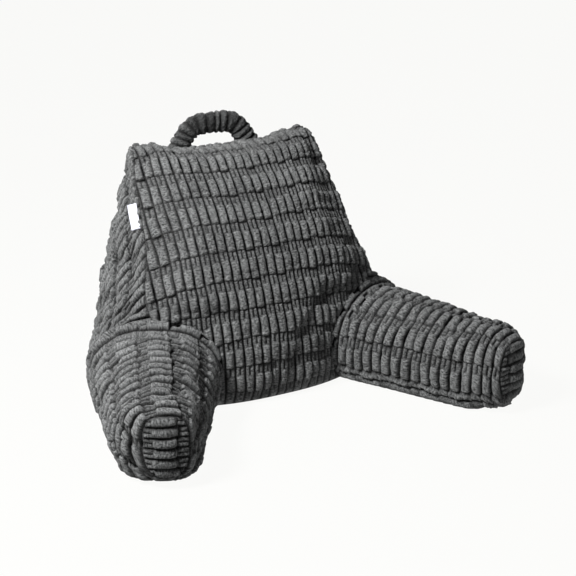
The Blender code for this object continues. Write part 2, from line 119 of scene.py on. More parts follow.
def pile_height(across, along):
    """Height of the pile, and how near its top that is with painted shade on the prongs and their step,
    from places on the cloth in repeats.
    """
    rib = np.floor(across).astype(int)
    along = along + (chance[0][rib % REPEAT, 5] - 0.5) * 2 * CELL_SHIFT / CELL
    cell = np.floor(along).astype(int)
    draw = chance[:, rib % REPEAT, cell % REPEAT]
    fuller = 1 + PILE_SPREAD * (draw[1] - 0.5)
    length = BOLSTER + (draw[2] - 0.5) * LENGTH_SPREAD
    x = (across - rib - 0.5) * RIB
    y = (along - cell) * CELL
    bend = BEND * (2 * x / RIB) ** 2
    from_groove = RIB / 2 - GROOVE - np.abs(x)
    ends = dome(y - ROW_GAP - bend, LOW_EDGE) * dome(length - bend - y, HIGH_EDGE)
    bolster = PILE * fuller * dome(from_groove, SIDE_EDGE) * ends
    crease_at = CREASE_AT + CREASE_SPREAD * draw[3] + CREASE_SWAY * np.sin(x / RIB * 5 + 9 * draw[4])
    crease = CREASE * soft_step(2 * draw[5] - 0.5) * np.exp(-(((y - crease_at) / CREASE_WIDE) ** 2))
    bolster = np.maximum(bolster - crease, 0.0)
    slit = dome(np.abs(x) - SLIT, PRONG_EDGE)
    slit = 1 - (1 - slit) * soft_step((y - length) / SLIT_OPEN)
    prongs = PRONG_PILE * (2 - fuller) * dome(from_groove, PRONG_EDGE) * slit
    prongs *= y > length / 2
    # painted shade: the prongs are coloured darker than the bolsters
    depth = np.maximum(bolster / PILE, prongs / PRONG_PILE * PRONG_PAINTED_SHADE)
    # painted shade: a dark line where a bolster steps down to its prongs
    depth *= 1 - STEP_PAINTED_SHADE * np.exp(-(((y - length - STEP_SHADE_WIDE / 2) / STEP_SHADE_WIDE) ** 2))
    return np.maximum(bolster, prongs), depth


middle_of_cell = pile_height(np.array([0.5]), np.array([0.3]))[0][0]
print("pile on a bolster:", round(1000 * float(middle_of_cell), 1), "mm")

# %% [markdown]
# ## Lines on the cloth
# Mesh lines follow the ribs. They are close at the grooves and the slit, where the pile turns down,
# and wider on top of a bolster. This puts the points where the shape needs them.

# %% Places of the mesh lines
RIB_LINES = (0.0, 0.07, 0.13, 0.24, 0.41, 0.46, 0.54, 0.59, 0.76, 0.87, 0.93)
CELL_LINES = (0.0, 0.012, 0.035, 0.065, 0.11, 0.15, 0.19, 0.23, 0.32, 0.48)
CELL_LINES += (0.62, 0.67, 0.69, 0.71, 0.76, 0.88, 0.985)
BACK_RIB_LINES = (0.0, 0.06, 0.22, 0.5, 0.78, 0.94)
BACK_CELL_LINES = (0.0, 0.06, 0.16, 0.34, 0.52, 0.66, 0.78, 0.93)
COARSE = (0.0, 0.5)


def repeats(low, high, lines):
    """All the places of the lines between two places, in repeats."""
    whole = np.arange(math.floor(low), math.ceil(high) + 1)
    places = (whole[:, None] + np.array(lines)).ravel()
    return places[(places > low) & (places < high)]


print("points in a cell:", len(RIB_LINES) * len(CELL_LINES))

# %% [markdown]
# ## A cover
# Every filled piece is a closed cover. Its points are laid in rows; two neighbouring rows are laced
# together with squares where their keys agree and with triangles where a seam cuts them off. Each
# point remembers where it lies on the cloth and how far it is from a seam, which is all the pile needs.

# %% Lacing rows of points into a cover
class Cover:
    """A closed cloth skin: points, their places on the cloth, and faces."""

    def __init__(self):
        self.points = []
        self.cloth = []  # places across and along the cloth, in repeats, and how much pile stands there
        self.faces = []

    def row(self, keys, points, across, along, pile):
        """Add a row of points. Returns it as (key, number) pairs."""
        start = len(self.points)
        count = len(keys)
        self.points.extend(np.asarray(points, float).tolist())
        values = [np.broadcast_to(value, count) for value in (across, along, pile)]
        self.cloth.extend(np.stack(values, axis=1).tolist())
        return [(key, start + i) for i, key in enumerate(keys)]

    def face(self, numbers):
        if len(set(numbers)) == len(numbers) > 2:
            self.faces.append(numbers)

    def lace(self, first, second):
        i = j = 0
        while i < len(first) - 1 or j < len(second) - 1:
            a = first[i + 1][0] if i < len(first) - 1 else math.inf
            b = second[j + 1][0] if j < len(second) - 1 else math.inf
            if abs(a - b) < 1e-6:
                self.face([first[i][1], first[i + 1][1], second[j + 1][1], second[j][1]])
                i += 1
                j += 1
            elif a < b:
                self.face([first[i][1], first[i + 1][1], second[j][1]])
                i += 1
            else:
                self.face([first[i][1], second[j + 1][1], second[j][1]])
                j += 1

    def lace_all(self, rows):
        for first, second in zip(rows, rows[1:]):
            self.lace(first, second)

    def mesh(self, name):
        """A mesh whose faces point outwards."""
        shell = bmesh.new()
        verts = [shell.verts.new(point) for point in self.points]
        for numbers in self.faces:
            shell.faces.new([verts[i] for i in numbers])
        open_edges = [edge for edge in shell.edges if edge.is_boundary]
        if open_edges:
            bmesh.ops.edgeloop_fill(shell, edges=open_edges)
        bmesh.ops.recalc_face_normals(shell, faces=shell.faces)
        flat = [face for face in shell.faces if len(face.verts) > 4]
        bmesh.ops.triangulate(shell, faces=flat, ngon_method="BEAUTY")
        mesh = bpy.data.meshes.new(name)
        shell.to_mesh(mesh)
        shell.free()
        return mesh


patch = Cover()
three = patch.row([0, 1, 2], [(0, 0, 0), (1, 0, 0), (2, 0, 0)], 0, 0, 0)
two = patch.row([0, 2], [(0, 1, 0), (2, 1, 0)], 0, 0, 0)
patch.lace(three, two)
print("three points laced to two give faces with", [len(face) for face in patch.faces], "corners")

# %% [markdown]
# ## Lines and tables
# A seam or a rib is a line of points, measured by its length and read at any place along it. The shapes
# of the panels come from short tables, read along smooth curves, so that the cloth has no corners.

# %% Read lines and tables
def lengths(points):
    """Distance along a line of points, from its start."""
    steps = np.linalg.norm(np.diff(points, axis=0), axis=1)
    return np.concatenate([[0.0], np.cumsum(steps)])


def at_lengths(points, places):
    """Points of a line at the given distances along it."""
    run = lengths(points)
    return np.stack([np.interp(places, run, points[:, i]) for i in range(points.shape[1])], axis=1)


def smooth_read(knots, rows, at):
    """Read a table of rows along a smooth curve through them."""
    knots = np.asarray(knots, float)
    rows = np.asarray(rows, float)
    at = np.clip(np.asarray(at, float), knots[0], knots[-1])
    slopes = np.gradient(rows, knots, axis=0)
    i = np.clip(np.searchsorted(knots, at, side="right") - 1, 0, len(knots) - 2)
    step = (knots[i + 1] - knots[i])[..., None]
    f = (at - knots[i])[..., None] / step
    start = (2 * f**3 - 3 * f**2 + 1) * rows[i] + (f**3 - 2 * f**2 + f) * step * slopes[i]
    end = (3 * f**2 - 2 * f**3) * rows[i + 1] + (f**3 - f**2) * step * slopes[i + 1]
    return start + end


def read_table(table, at):
    """One row of a table, read at a value of its first column."""
    table = np.array(table)
    return smooth_read(table[:, 0], table[:, 1:], np.array([at]))[0]


def rounded(circle, power):
    """Sines or cosines raised to a power, signs kept, which makes a circle squarer or sharper."""
    return np.sign(circle) * np.abs(circle) ** power


print("a line with a corner, measured:", lengths(np.array([(0, 0), (3, 4), (3, 5)])))

# %% [markdown]
# ## The backrest's outline
# Seen from the side, the front, top, back and base run round one outline. The table gives it at the
# places where it changes: once at the side seams, and once in the middle, where the filling pushes it
# out. The half width says how far the seams stand apart there. These are the solid's own sizes, so the
# cloth lies where the solid is.

# %% Sizes of the backrest, in metres
# place, seam y, seam z, middle y, middle z, half width between the seams
OUTLINE = (
    ("front foot", 0.000, 0.000, -0.024, 0.000, 0.120),
    ("front roll", -0.002, 0.022, -0.040, 0.024, 0.120),
    ("belly", 0.000, 0.085, -0.040, 0.095, 0.142),
    ("arm joint", 0.040, 0.169, -0.010, 0.186, 0.228),
    ("front middle", 0.108, 0.300, 0.048, 0.306, 0.212),
    ("front top", 0.188, 0.415, 0.136, 0.405, 0.197),
    ("top front", 0.210, 0.446, 0.178, 0.437, 0.190),
    ("top back", 0.240, 0.451, 0.238, 0.442, 0.180),
    ("back top", 0.261, 0.422, 0.272, 0.416, 0.176),
    ("back middle", 0.278, 0.220, 0.302, 0.220, 0.203),
    ("back roll", 0.286, 0.024, 0.300, 0.024, 0.250),
    ("back foot", 0.275, 0.000, 0.285, 0.000, 0.240),
)
PLACES = [row[0] for row in OUTLINE]
JOINT_ROW = PLACES.index("arm joint")
CROWN_POWER = 2.6  # how squarely a panel fills out between its seams
EAR_RISE = (0.011, 0.004)  # the puffed top corners above the sagging middle, left and right
EAR_PLACE = 0.80  # where they are highest, from the middle to the seam,
EAR_SPREAD = 0.16
EAR_FROM = 0.40  # and the height above the ground from which they rise
EAR_FADE = 0.04
FINE = 121  # samples along a curve that is measured
GAP = 0.0003  # between pieces that touch

OUTLINE_SIZES = np.array([row[1:] for row in OUTLINE])
OUTLINE_AT = lengths(OUTLINE_SIZES[:, 2:4])
AT_ROLL = OUTLINE_AT[1]
AT_JOINT = OUTLINE_AT[JOINT_ROW]
AT_TOP = OUTLINE_AT[PLACES.index("back top")]
AT_BACK_ROLL = OUTLINE_AT[-2]
AT_END = OUTLINE_AT[-1]
print("round the backrest:", round(AT_END, 3), "m,", round(AT_END / CELL, 1), "cells")

# %% [markdown]
# ## The arms' sections
# An arm is a row of hoops. Each hoop is a rounded section, flat underneath, and the table gives its
# width and height along the arm. The first hoop lies in the joint plane against the backrest, and the
# last ones round in to a sewn oval cap.

# %% Sizes of the arms, in metres
JOINT_CENTRE = (0.228, 0.040)
JOINT_TURN = math.radians(28)  # how far the joint plane is turned outwards,
ARM_TURN = math.radians(21.5)  # and the arm
TURN_OVER = 0.12
# -1 is the left arm and 1 the right one
ARM_LENGTH = {-1: 0.95, 1: 1.03}  # each arm's length as a share of the table's,
ARM_LIFT = {-1: 0.0, 1: 0.04}  # and how much higher its far end stands
HOOP_STRETCH = {-1: 1.30, 1: STRETCH}  # the hoops of the left arm are pushed further apart,
HOOP_CROWD = {-1: 0.18, 1: 0.0}  # and crowd together towards its tip
# distance along the arm, width, height
ARM_SECTIONS = (
    (0.000, 0.248, 0.169),
    (0.030, 0.240, 0.160),
    (0.110, 0.208, 0.156),
    (0.210, 0.172, 0.156),
    (0.280, 0.147, 0.154),
    (0.338, 0.136, 0.151),
)
TOP_POWER = 2.1  # how square a hoop is above its widest place: 2 is an ellipse
FOOT_POWER = 2.7
CAP_TOP_POWER = 3.6
CAP_FOOT_POWER = 2.3
SECTION_CENTRE = 0.46
SECTION_FLAT = 0.30
DOME_LENGTH = 0.070
CAP_WIDTH = 0.080
CAP_HEIGHT = 0.113
CAP_RISE = 0.004  # the tip lifts off the ground by this much
CAP_SHIFT = 0.012  # and its cap sits this far to the inner side
CAP_BULGE = 0.010
arm_lengths = [round(ARM_SECTIONS[-1][0] * share, 3) for share in ARM_LENGTH.values()]
print("left and right arm:", arm_lengths, "m long")

# %% [markdown]
# ## Hoops
# A hoop is found in three steps: its sizes from the table, its line in its own plane, and its place in
# the row. The first hoop is also the outline of the joint face that the panels and gussets end on.

# %% Hoops of an arm
def section_sizes(along):
    """Width, height, the shares left of both by the domed end, and how far into that end it is."""
    width, height = read_table(ARM_SECTIONS, along)
    into = max(0.0, (along - ARM_SECTIONS[-1][0] + DOME_LENGTH) / DOME_LENGTH)
    slim = math.sqrt(1 - (1 - (CAP_WIDTH / width) ** 2) * into**2)
    low = math.sqrt(1 - (1 - (CAP_HEIGHT / height) ** 2) * into**2)
    return width, height, slim, low, into


def section_line(along):
    """A closed hoop, finely sampled from its ridge outwards: (out from the arm's middle, height)."""
    width, height, slim, low, into = section_sizes(along)
    centre = height * SECTION_CENTRE
    angles = np.linspace(math.pi / 2, -1.5 * math.pi, 4 * FINE)
    top = TOP_POWER + (CAP_TOP_POWER - TOP_POWER) * into
    foot = FOOT_POWER + (CAP_FOOT_POWER - FOOT_POWER) * into
    power = 2 / np.where(np.sin(angles) > 0, top, foot)
    out = width / 2 * rounded(np.cos(angles), power)
    up = rounded(np.sin(angles), power)
    reach = np.where(up > 0, height - centre, centre * (1 + SECTION_FLAT * (1 - into)))
    rise = np.maximum(centre + up * reach, 0.0)
    rise = centre + (rise - centre) * low + CAP_RISE * into**2
    return np.stack([out * slim - CAP_SHIFT * into**2, rise], axis=1)


def arm_frame(along, side):
    """The middle of the arm on the ground, and the direction out across it."""
    turn = JOINT_TURN + (ARM_TURN - JOINT_TURN) * float(soft_step(along / TURN_OVER))
    reach = along * ARM_LENGTH[side]
    middle = np.array(JOINT_CENTRE) + reach * np.array([math.sin(ARM_TURN), -math.cos(ARM_TURN)])
    out = np.array([math.cos(turn), math.sin(turn)])
    return middle * (side, 1), out * (side, 1)


def arm_places(along, side, line):
    """Points of a section line, stood up in the row frame."""
    middle, across = arm_frame(along, side)
    ground = middle + line[:, :1] * across
    lift = 1 + ARM_LIFT[side] * along / ARM_SECTIONS[-1][0]
    return np.column_stack([ground, line[:, 1] * lift])


def joint_face():
    """The arm's section in the joint plane: ridge to outer foot, and inner foot to ridge."""
    hoop = section_line(0.0)
    outer = hoop[(hoop[:, 0] >= 0) & (hoop[:, 1] > 0)]
    inner = hoop[(hoop[:, 0] <= 0) & (hoop[:, 1] > 0)]
    outer = outer[np.argsort(-outer[:, 1], kind="stable")]
    inner = inner[np.argsort(inner[:, 1], kind="stable")]
    flat = hoop[hoop[:, 1] <= 0]
    outer = np.vstack([outer, [flat[:, 0].max(), 0.0]])
    inner = np.vstack([[flat[:, 0].min(), 0.0], inner])
    return outer, inner


JOINT_OUTER, JOINT_INNER = joint_face()
print("round the joint face:", round(lengths(section_line(0.0))[-1], 3), "m")

# %% [markdown]
# ## Panels of the backrest
# Below the arm joint the front panel ends where it meets the arms, so its seam there is read from the
# joint face. Above, it is read from the outline. The panel's middle is pushed out by the filling and its
# edges are held by the seams, so it is highest in the middle and steep near the seams, and the top
# corners puff up like ears. Near the seams the rows of cells hang down a little.

# %% The front, top and back panels
def outline(at):
    """Seam y and z, middle y and z, half width, at distances round the outline."""
    at = np.atleast_1d(at)
    sizes = smooth_read(OUTLINE_AT, OUTLINE_SIZES, at)
    for number in np.flatnonzero(at < AT_JOINT):
        height = sizes[number, 1]
        out = np.interp(height, JOINT_INNER[:, 1], JOINT_INNER[:, 0])
        place = arm_places(0.0, 1, np.array([[out, height]]))[0]
        sizes[number, 4], sizes[number, 0] = place[:2]
    return sizes


def seam_points(at, side):
    sizes = outline(at)
    return np.stack([side * sizes[:, 4], sizes[:, 0], sizes[:, 1]], axis=1)


def panel_points(sizes, x):
    """Points of a panel, from the outline's sizes at each of them."""
    seam_y, seam_z, middle_y, middle_z, half = sizes.T
    u = np.abs(x) / half
    crown = 1 - u**CROWN_POWER
    ear = np.where(x < 0, *EAR_RISE) * np.exp(-(((u - EAR_PLACE) / EAR_SPREAD) ** 2)) * crown**0.5
    ear *= soft_step((seam_z - EAR_FROM) / EAR_FADE)
    y = seam_y + (middle_y - seam_y) * crown
    return np.stack([x, y, seam_z + (middle_z - seam_z) * crown + ear], axis=1)


LONG_CELL = CELL * STRETCH
DROOP = 0.019  # near the seams a row hangs down by this much
DROOP_FROM = 0.42
DROOP_FADE = 0.050
SEAM_INSET = 0.0022  # a panel's last points stand this far from its seam
LINE_CLEAR = 0.0009  # a mesh line this near to them is left out


def panel_row(cover, at, lines):
    """One row across the panels, from the left seam to the right one, and where it meets them."""
    fade = soft_step((at - AT_JOINT) / DROOP_FADE) * soft_step((AT_TOP - at) / DROOP_FADE)
    droop = DROOP * float(fade)
    reach = outline(at - droop)[0][4] - SEAM_INSET
    ribs = repeats(-reach / RIB - 0.5, reach / RIB - 0.5, lines)
    x = (ribs + 0.5) * RIB
    x = x[np.abs(x) < reach - LINE_CLEAR]
    x = np.concatenate([[-reach], x, [reach]])
    hang = droop * np.clip((np.abs(x) / reach - DROOP_FROM) / (1 - DROOP_FROM), 0, 1) ** 2
    sizes = outline(at - hang)
    edge = (reach + SEAM_INSET - np.abs(x)) / SEAM_FADE
    row = cover.row(x, panel_points(sizes, x), x / RIB - 0.5, at / CELL + ROW_START, soft_step(edge))
    return row, at - droop


print("front panel at the arms:", round(2 * float(outline(AT_JOINT)[0][4]), 3), "m wide")

# %% [markdown]
# ## The gussets
# A gusset closes each side. Its ribs fan out: the first runs over the arm in the joint plane, the last
# reaches the top back corner, and in between they end on the base edge or on the back seam. A rib
# beside the arm arches over like the arm does, and the arch dies away further up the fan.

# %% The fan of ribs on one side
GUSSET_RIBS = 20
# share of the front seam where a rib starts, where it ends: 0 to 1 on the base, 1 to 2 up the back
FAR_ENDS = (
    (0.00, 0.00),
    (0.15, 0.24),
    (0.35, 0.55),
    (0.55, 0.82),
    (0.70, 1.06),
    (0.85, 1.45),
    (1.00, 2.00),
)
BASE_BULGE = 0.024  # the base edge bulges out beside the arm by this much
DROP_FADE = 0.11  # share of the fan over which the first rib's arch sinks
SWELL_TURN = 0.5  # and over which the swelling turns to the side
# share of the fan from the joint plane, how far the cloth swells out beside that plane
GUSSET_FILL = (
    (0.00, 1.00),
    (0.13, 0.62),
    (0.28, 0.48),
    (0.42, 0.36),
    (0.70, 0.20),
    (1.00, 0.08),
)

starts_at, ends_at = np.array(FAR_ENDS).T
on_base = round(GUSSET_RIBS * float(np.interp(1.0, ends_at, starts_at)))
print("of", GUSSET_RIBS, "ribs,", on_base, "end on the base and the rest on the back seam")

# %% [markdown]
# ## One rib of the fan
# A rib runs from the front seam to its far end. The arch of the joint face is carried over to it, and
# shrinks and turns sideways from rib to rib.

# %% Lines of the fan
def far_edge(share, side):
    """Where a gusset rib ends: on the base edge, or further on up the back seam."""
    start = arm_places(0.0, side, JOINT_OUTER[-1:])[0]
    corner = seam_points(AT_END, side)[0]
    run = read_table(FAR_ENDS, share)[0]
    if run >= 1:
        at = AT_END + (AT_TOP - AT_END) * (run - 1)
        return at, seam_points(at, side)[0]
    edge = corner - start
    out = np.array([side * edge[1], -side * edge[0], 0.0]) / np.linalg.norm(edge)
    return None, start + edge * run + out * BASE_BULGE * math.sin(math.pi * run)


HOOP = at_lengths(JOINT_OUTER, np.linspace(0, lengths(JOINT_OUTER)[-1], FINE))
RUN = np.linspace(0, 1, FINE)[:, None]
HOOP_SWELL = HOOP - (HOOP[0] + (HOOP[-1] - HOOP[0]) * RUN)


def rib_line(share, side):
    """One line of the gusset's fan, finely sampled from the front seam to its far edge."""
    start = seam_points(AT_JOINT + (AT_TOP - AT_JOINT) * share, side)[0]
    _, end = far_edge(share, side)
    _, across = arm_frame(0.0, side)
    across = across + (np.array([side, 0.0]) - across) * float(soft_step(share / SWELL_TURN))
    puff = read_table(GUSSET_FILL, share)[0]
    line = start + (end - start) * RUN
    line[:, :2] += across * HOOP_SWELL[:, :1] * puff
    line[:, 2] += HOOP_SWELL[:, 1] * (1 - float(soft_step(share / DROP_FADE)))
    return line


FAN = [round(lengths(rib_line(share, 1))[-1], 3) for share in (0.0, 0.5, 1.0)]
print("first, middle and last rib of the fan:", FAN, "m")

# %% [markdown]
# ## Laying a gusset
# The ribs' mesh lines are laid one after another and laced together. The points on the two seams are
# handed back with their places on the outline, so that the panels can be laced to them.

# %% Lay a gusset
def gusset(cover, side, rib_lines, cell_lines):
    """Lay one gusset. Returns its first column and its points on the seam, with their outline places."""
    seam, back = [], []
    ribs = np.concatenate([[0.5], repeats(0.5, GUSSET_RIBS + 0.5, rib_lines), [GUSSET_RIBS + 0.5]])
    first = previous = None
    for rib in ribs:
        share = (rib - 0.5) / GUSSET_RIBS
        line = rib_line(share, side)
        length = lengths(line)[-1]
        at_far, _ = far_edge(share, side)
        places = [0.0]
        if length > 2 * SEAM_INSET:
            last = length - SEAM_INSET
            inner = repeats(SEAM_INSET / LONG_CELL, last / LONG_CELL, cell_lines) * LONG_CELL
            places = np.concatenate([[0.0, SEAM_INSET], inner, [last, length]])
        elif length > LINE_CLEAR:
            places = [0.0, length]
        places = np.array(places)
        edge = np.minimum(places / SEAM_FADE, (length - places) / BACK_SEAM_FADE)
        pile = FULL_PILE * soft_step(edge)
        column = cover.row(places, at_lengths(line, places), rib, places / LONG_CELL, pile)
        if previous:
            cover.lace(previous, column)
        first = first or column
        previous = column
        seam.append((AT_JOINT + (AT_TOP - AT_JOINT) * share, column[0][1]))
        if at_far is not None and share < 1:
            back.append((at_far, column[-1][1]))
    return first, seam + back[::-1]


print("a coarse gusset meets its seam at", len(gusset(Cover(), 1, COARSE, COARSE)[1]), "points")

# %% [markdown]
# ## The backrest's cover
# The panels' rows run round the outline, close together where the front shows and wider on the back.
# Their ends are laced to the gussets' points, which closes the side seams. The joint faces, which the
# arms hide, are plain, and so is the base.

# %% Lay the backrest
def backrest_cover(front_lines, back_lines):
    cover = Cover()
    starts = [at / CELL + ROW_START for at in (AT_ROLL, AT_TOP, AT_BACK_ROLL)]
    front = (repeats(starts[0], starts[1], front_lines[1]) - ROW_START) * CELL
    back = (repeats(starts[1], starts[2], back_lines[1]) - ROW_START) * CELL
    feet = [(AT_BACK_ROLL + AT_END) / 2, AT_END]
    places = np.concatenate([[0.0, AT_ROLL / 2, AT_ROLL], front, [AT_TOP], back, [AT_BACK_ROLL], feet])
    laid = [panel_row(cover, at, (front_lines if at <= AT_TOP else back_lines)[0]) for at in places]
    cover.lace_all([row for row, _ in laid])
    inner_length = lengths(JOINT_INNER)[-1]
    heights = OUTLINE_SIZES[: JOINT_ROW + 1, 1]
    for side, end in ((-1, 0), (1, -1)):
        border = [(at, row[end][1]) for row, at in laid]
        first, seam = gusset(cover, side, front_lines[0], front_lines[1])
        line = at_lengths(JOINT_INNER, np.arange(0.0, inner_length - SEAM_INSET, CELL / 12))
        keys = np.interp(line[:, 1], heights, OUTLINE_AT[: JOINT_ROW + 1])
        fold = cover.row(keys, arm_places(0.0, side, line), 0.0, 0.0, 0.0)
        cover.lace(border, fold + seam)
        cover.face([number for _, number in fold + first])
    return cover


fine = (RIB_LINES, CELL_LINES)
back_of_it = (BACK_RIB_LINES, BACK_CELL_LINES)
coarse = (COARSE, COARSE)
backrest_cloth = backrest_cover(fine, back_of_it)
backrest_cage = backrest_cover(coarse, coarse)
print("backrest:", len(backrest_cloth.points), "points;", len(backrest_cage.points), "in its cage")

# %% [markdown]
# ## The arms' covers
# The ribs go round an arm as hoops, over its side and round its domed end. They are evenly spaced on
# the right arm and crowd together towards the tip of the left one. On the inner side a hoop starts at
# a low seam, so the rows of cells are counted from there. Under that seam the cloth is turned, and its
# ribs run along the arm. The cap is a piece of the same cloth with its ribs level.

# %% Lay an arm
LOW_SEAM = 0.036  # height of the inner seam above the ground
ROW_FROM_RIDGE = 0.0295  # on the left arm a row starts this far inside the ridge
CAP_RIBS = 6
CAP_LINE_CLEAR = 0.0015  # a mesh line this near to the cap's seam is left out
CAP_SEAM_FADE = 0.0016  # the cap's pile stands right up to its seam


def from_ridge_to_seam(line):
    """Distance round the inner side of a hoop, from its ridge down to the low seam."""
    run = lengths(line)
    inner = (line[:, 1] < line[0, 1] - RIB / 2) & (run > run[-1] / 2)
    return run[-1] - float(np.interp(LOW_SEAM, line[inner, 1], run[inner]))


def arm_cover(side, lines):
    rib_lines, cell_lines = lines
    cover = Cover()
    along = np.linspace(0, ARM_SECTIONS[-1][0], 4 * FINE)
    half_width = [section_sizes(place)[0] * section_sizes(place)[2] / 2 for place in along]
    run = lengths(np.stack([along, half_width], axis=1))
    count = round(run[-1] * ARM_LENGTH[side] / (RIB * HOOP_STRETCH[side]))
    ribs = np.concatenate([[0.5], repeats(0.5, count, rib_lines), [count]])
    shares = (ribs - 0.5) / (count - 0.5)
    shares += HOOP_CROWD[side] * shares * (1 - shares)
    places = np.interp(shares * run[-1], run, along)
    middles = places[np.searchsorted(ribs, np.arange(count) + 0.5)]
    seams = [from_ridge_to_seam(section_line(place)) for place in middles]
    if side < 0:
        cells_down = round((seams[0] - ROW_FROM_RIDGE) / LONG_CELL)
        seams = [ROW_FROM_RIDGE + cells_down * LONG_CELL] * count
    hoops = []
    for rib, place in zip(ribs, places):
        line = section_line(place)
        total = lengths(line)[-1]
        own = seams[min(int(rib), count - 1)]
        first = (own - total / 2) / LONG_CELL
        cells = repeats(first, first + total / LONG_CELL, cell_lines)
        cells = np.concatenate([[first], cells])
        points = arm_places(place, side, at_lengths(line, (cells * LONG_CELL - own) % total))
        under = cells < 0
        across = np.where(under, cells * LONG_CELL / (RIB * STRETCH), rib)
        down = np.where(under, place / LONG_CELL, cells)
        edge = (count - rib) * RIB / SEAM_FADE
        hoop = cover.row(cells, points, across, down, FULL_PILE * soft_step(edge))
        hoops.append(hoop + [(first + total / LONG_CELL, hoop[0][1])])
    cover.lace_all(hoops)
    cover.face([number for _, number in hoops[0][:-1]])
    cap(cover, side, hoops[-1][:-1], lines)
    out = np.array([side * math.sin(JOINT_TURN), -math.cos(JOINT_TURN), 0.0]) * GAP
    cover.points = (np.array(cover.points) + out).tolist()
    return cover


print("at the joint, ridge to low seam:", round(from_ridge_to_seam(section_line(0.0)), 3), "m")

# %% [markdown]
# ## The cap
# The cap is laid in level rows inside its oval, and bulges a little in the middle. The ends of its rows
# make a ring, which is laced to the last hoop in the order of their angles.

# %% Lay the cap of an arm
def cap(cover, side, rim, lines):
    """The oval end of an arm, laced to its last hoop."""
    rib_lines, cell_lines = lines
    along = ARM_SECTIONS[-1][0]
    _, height, _, low, _ = section_sizes(along)
    centre = height * SECTION_CENTRE + CAP_RISE
    above = height * (1 - SECTION_CENTRE) * low
    below = height * SECTION_CENTRE * low
    pitch = (above + below) / CAP_RIBS
    rows, edge_points = [], []
    for rib in repeats(0, CAP_RIBS, rib_lines):
        up = rib * pitch - below
        reach, power = (above, CAP_TOP_POWER) if up > 0 else (below, CAP_FOOT_POWER)
        level = abs(up) / (reach - SEAM_INSET)
        if level >= 1:
            continue
        half = CAP_WIDTH / 2 * (1 - level**power) ** (1 / power) - SEAM_INSET
        if half < SEAM_INSET:
            continue
        cells = repeats(-half / LONG_CELL - 0.5, half / LONG_CELL + 0.5, cell_lines)
        out = cells * LONG_CELL - BOLSTER * STRETCH / 2
        out = out[np.abs(out) < half - CAP_LINE_CLEAR]
        out = np.concatenate([[-half], out, [half]])
        bulge = CAP_BULGE * (1 - (2 * out / CAP_WIDTH) ** 2) * (1 - (up / reach) ** 2)
        spots = np.column_stack([out - CAP_SHIFT, np.full(len(out), centre + up)])[:, None]
        points = [arm_places(along + b, side, spot)[0] for spot, b in zip(spots, bulge)]
        wide = (2 * np.abs(out) / CAP_WIDTH) ** power
        radius = (wide + (abs(up) / reach) ** power) ** (1 / power)
        edge = (1 - radius) * CAP_WIDTH / 2 / CAP_SEAM_FADE
        row = cover.row(out, points, rib, out / LONG_CELL + BOLSTER / CELL / 2, soft_step(edge))
        rows.append(row)
        edge_points.append([(x, up, number) for x, number in row])
    cover.lace_all(rows)
    border = edge_points[0] + edge_points[-1]
    for row in edge_points[1:-1]:
        border += [row[0], row[-1]]
    ring = sorted((math.atan2(x, up) % math.tau, number) for x, up, number in border)
    ring.append((ring[0][0] + math.tau, ring[0][1]))
    points = np.array([cover.points[number] for _, number in rim])
    middle, across = arm_frame(along, side)
    aside = (points[:, :2] - middle) @ across + CAP_SHIFT
    turns = np.arctan2(aside, points[:, 2] - centre) % math.tau
    hoop = sorted(zip(turns.tolist(), [number for _, number in rim]))
    hoop.append((hoop[0][0] + math.tau, hoop[0][1]))
    cover.lace(hoop, ring)


ARMS = {"arm_left": -1, "arm_right": 1}
arm_cloth = {name: arm_cover(side, fine) for name, side in ARMS.items()}
arm_cage = {name: arm_cover(side, coarse) for name, side in ARMS.items()}
print("arms:", [len(cover.points) for cover in arm_cloth.values()], "points")

# %% [markdown]
# ## Plumping
# A laid cover is regular. Real cloth is pushed out by its filling and held at its seams, which gives it
# soft hollows and swellings. A coarse cage of each piece is shrunk a little, held at its seams, its base
# and its joint face, and inflated by a cloth simulation. The fine cover then follows its cage. Simulating
# the fine cover itself would take far longer and look the same once the pile covers it.

# %% Sizes of the simulation
CAGE_VOXEL = 0.009
CAGE_SHRINK = 0.0045  # the cage starts this much smaller
CAGE_FRAMES = 20
CAGE_PRESSURE = 4.0
CLOTH_SLACK = -0.035  # negative: the cloth is a little larger than its cage
HOLD = 0.010  # cloth this near to a seam, the base or a joint face is held there
HOLD_FADE = 0.016
MOST_MOVE = 0.009  # no point moves further than this
NEIGHBOURS = 6  # points of the cage that a point of the cover follows
HELD_LEAST = 0.01  # less hold than this counts as free
print("squares of the cage along one cell:", round(CELL / CAGE_VOXEL, 1))

# %% [markdown]
# ## Points as arrays
# Blender hands over the points of a mesh as one long row of numbers, which numpy works on at once.

# %% Read and set points
def vectors(rows, key):
    values = np.zeros(len(rows) * 3, np.float32)
    rows.foreach_get(key, values)
    return values.reshape(-1, 3).astype(float)


def points_of(mesh):
    return vectors(mesh.vertices, "co")


def normals_of(mesh):
    return vectors(mesh.vertex_normals, "vector")


def set_points(mesh, points):
    mesh.vertices.foreach_set("co", np.asarray(points, np.float32).ravel())
    mesh.update()


def tree_of(points):
    tree = kdtree.KDTree(len(points))
    for number, point in enumerate(points):
        tree.insert(point, number)
    tree.balance()
    return tree


nearest = tree_of([(0, 0, 0), (1, 0, 0)]).find((0.9, 0, 0))
print("nearest point of two:", nearest[1], "at", round(nearest[2], 3))

# %% [markdown]
# ## What holds the cloth
# Cloth near a seam, the base or a joint face is held, and the hold fades away from there.

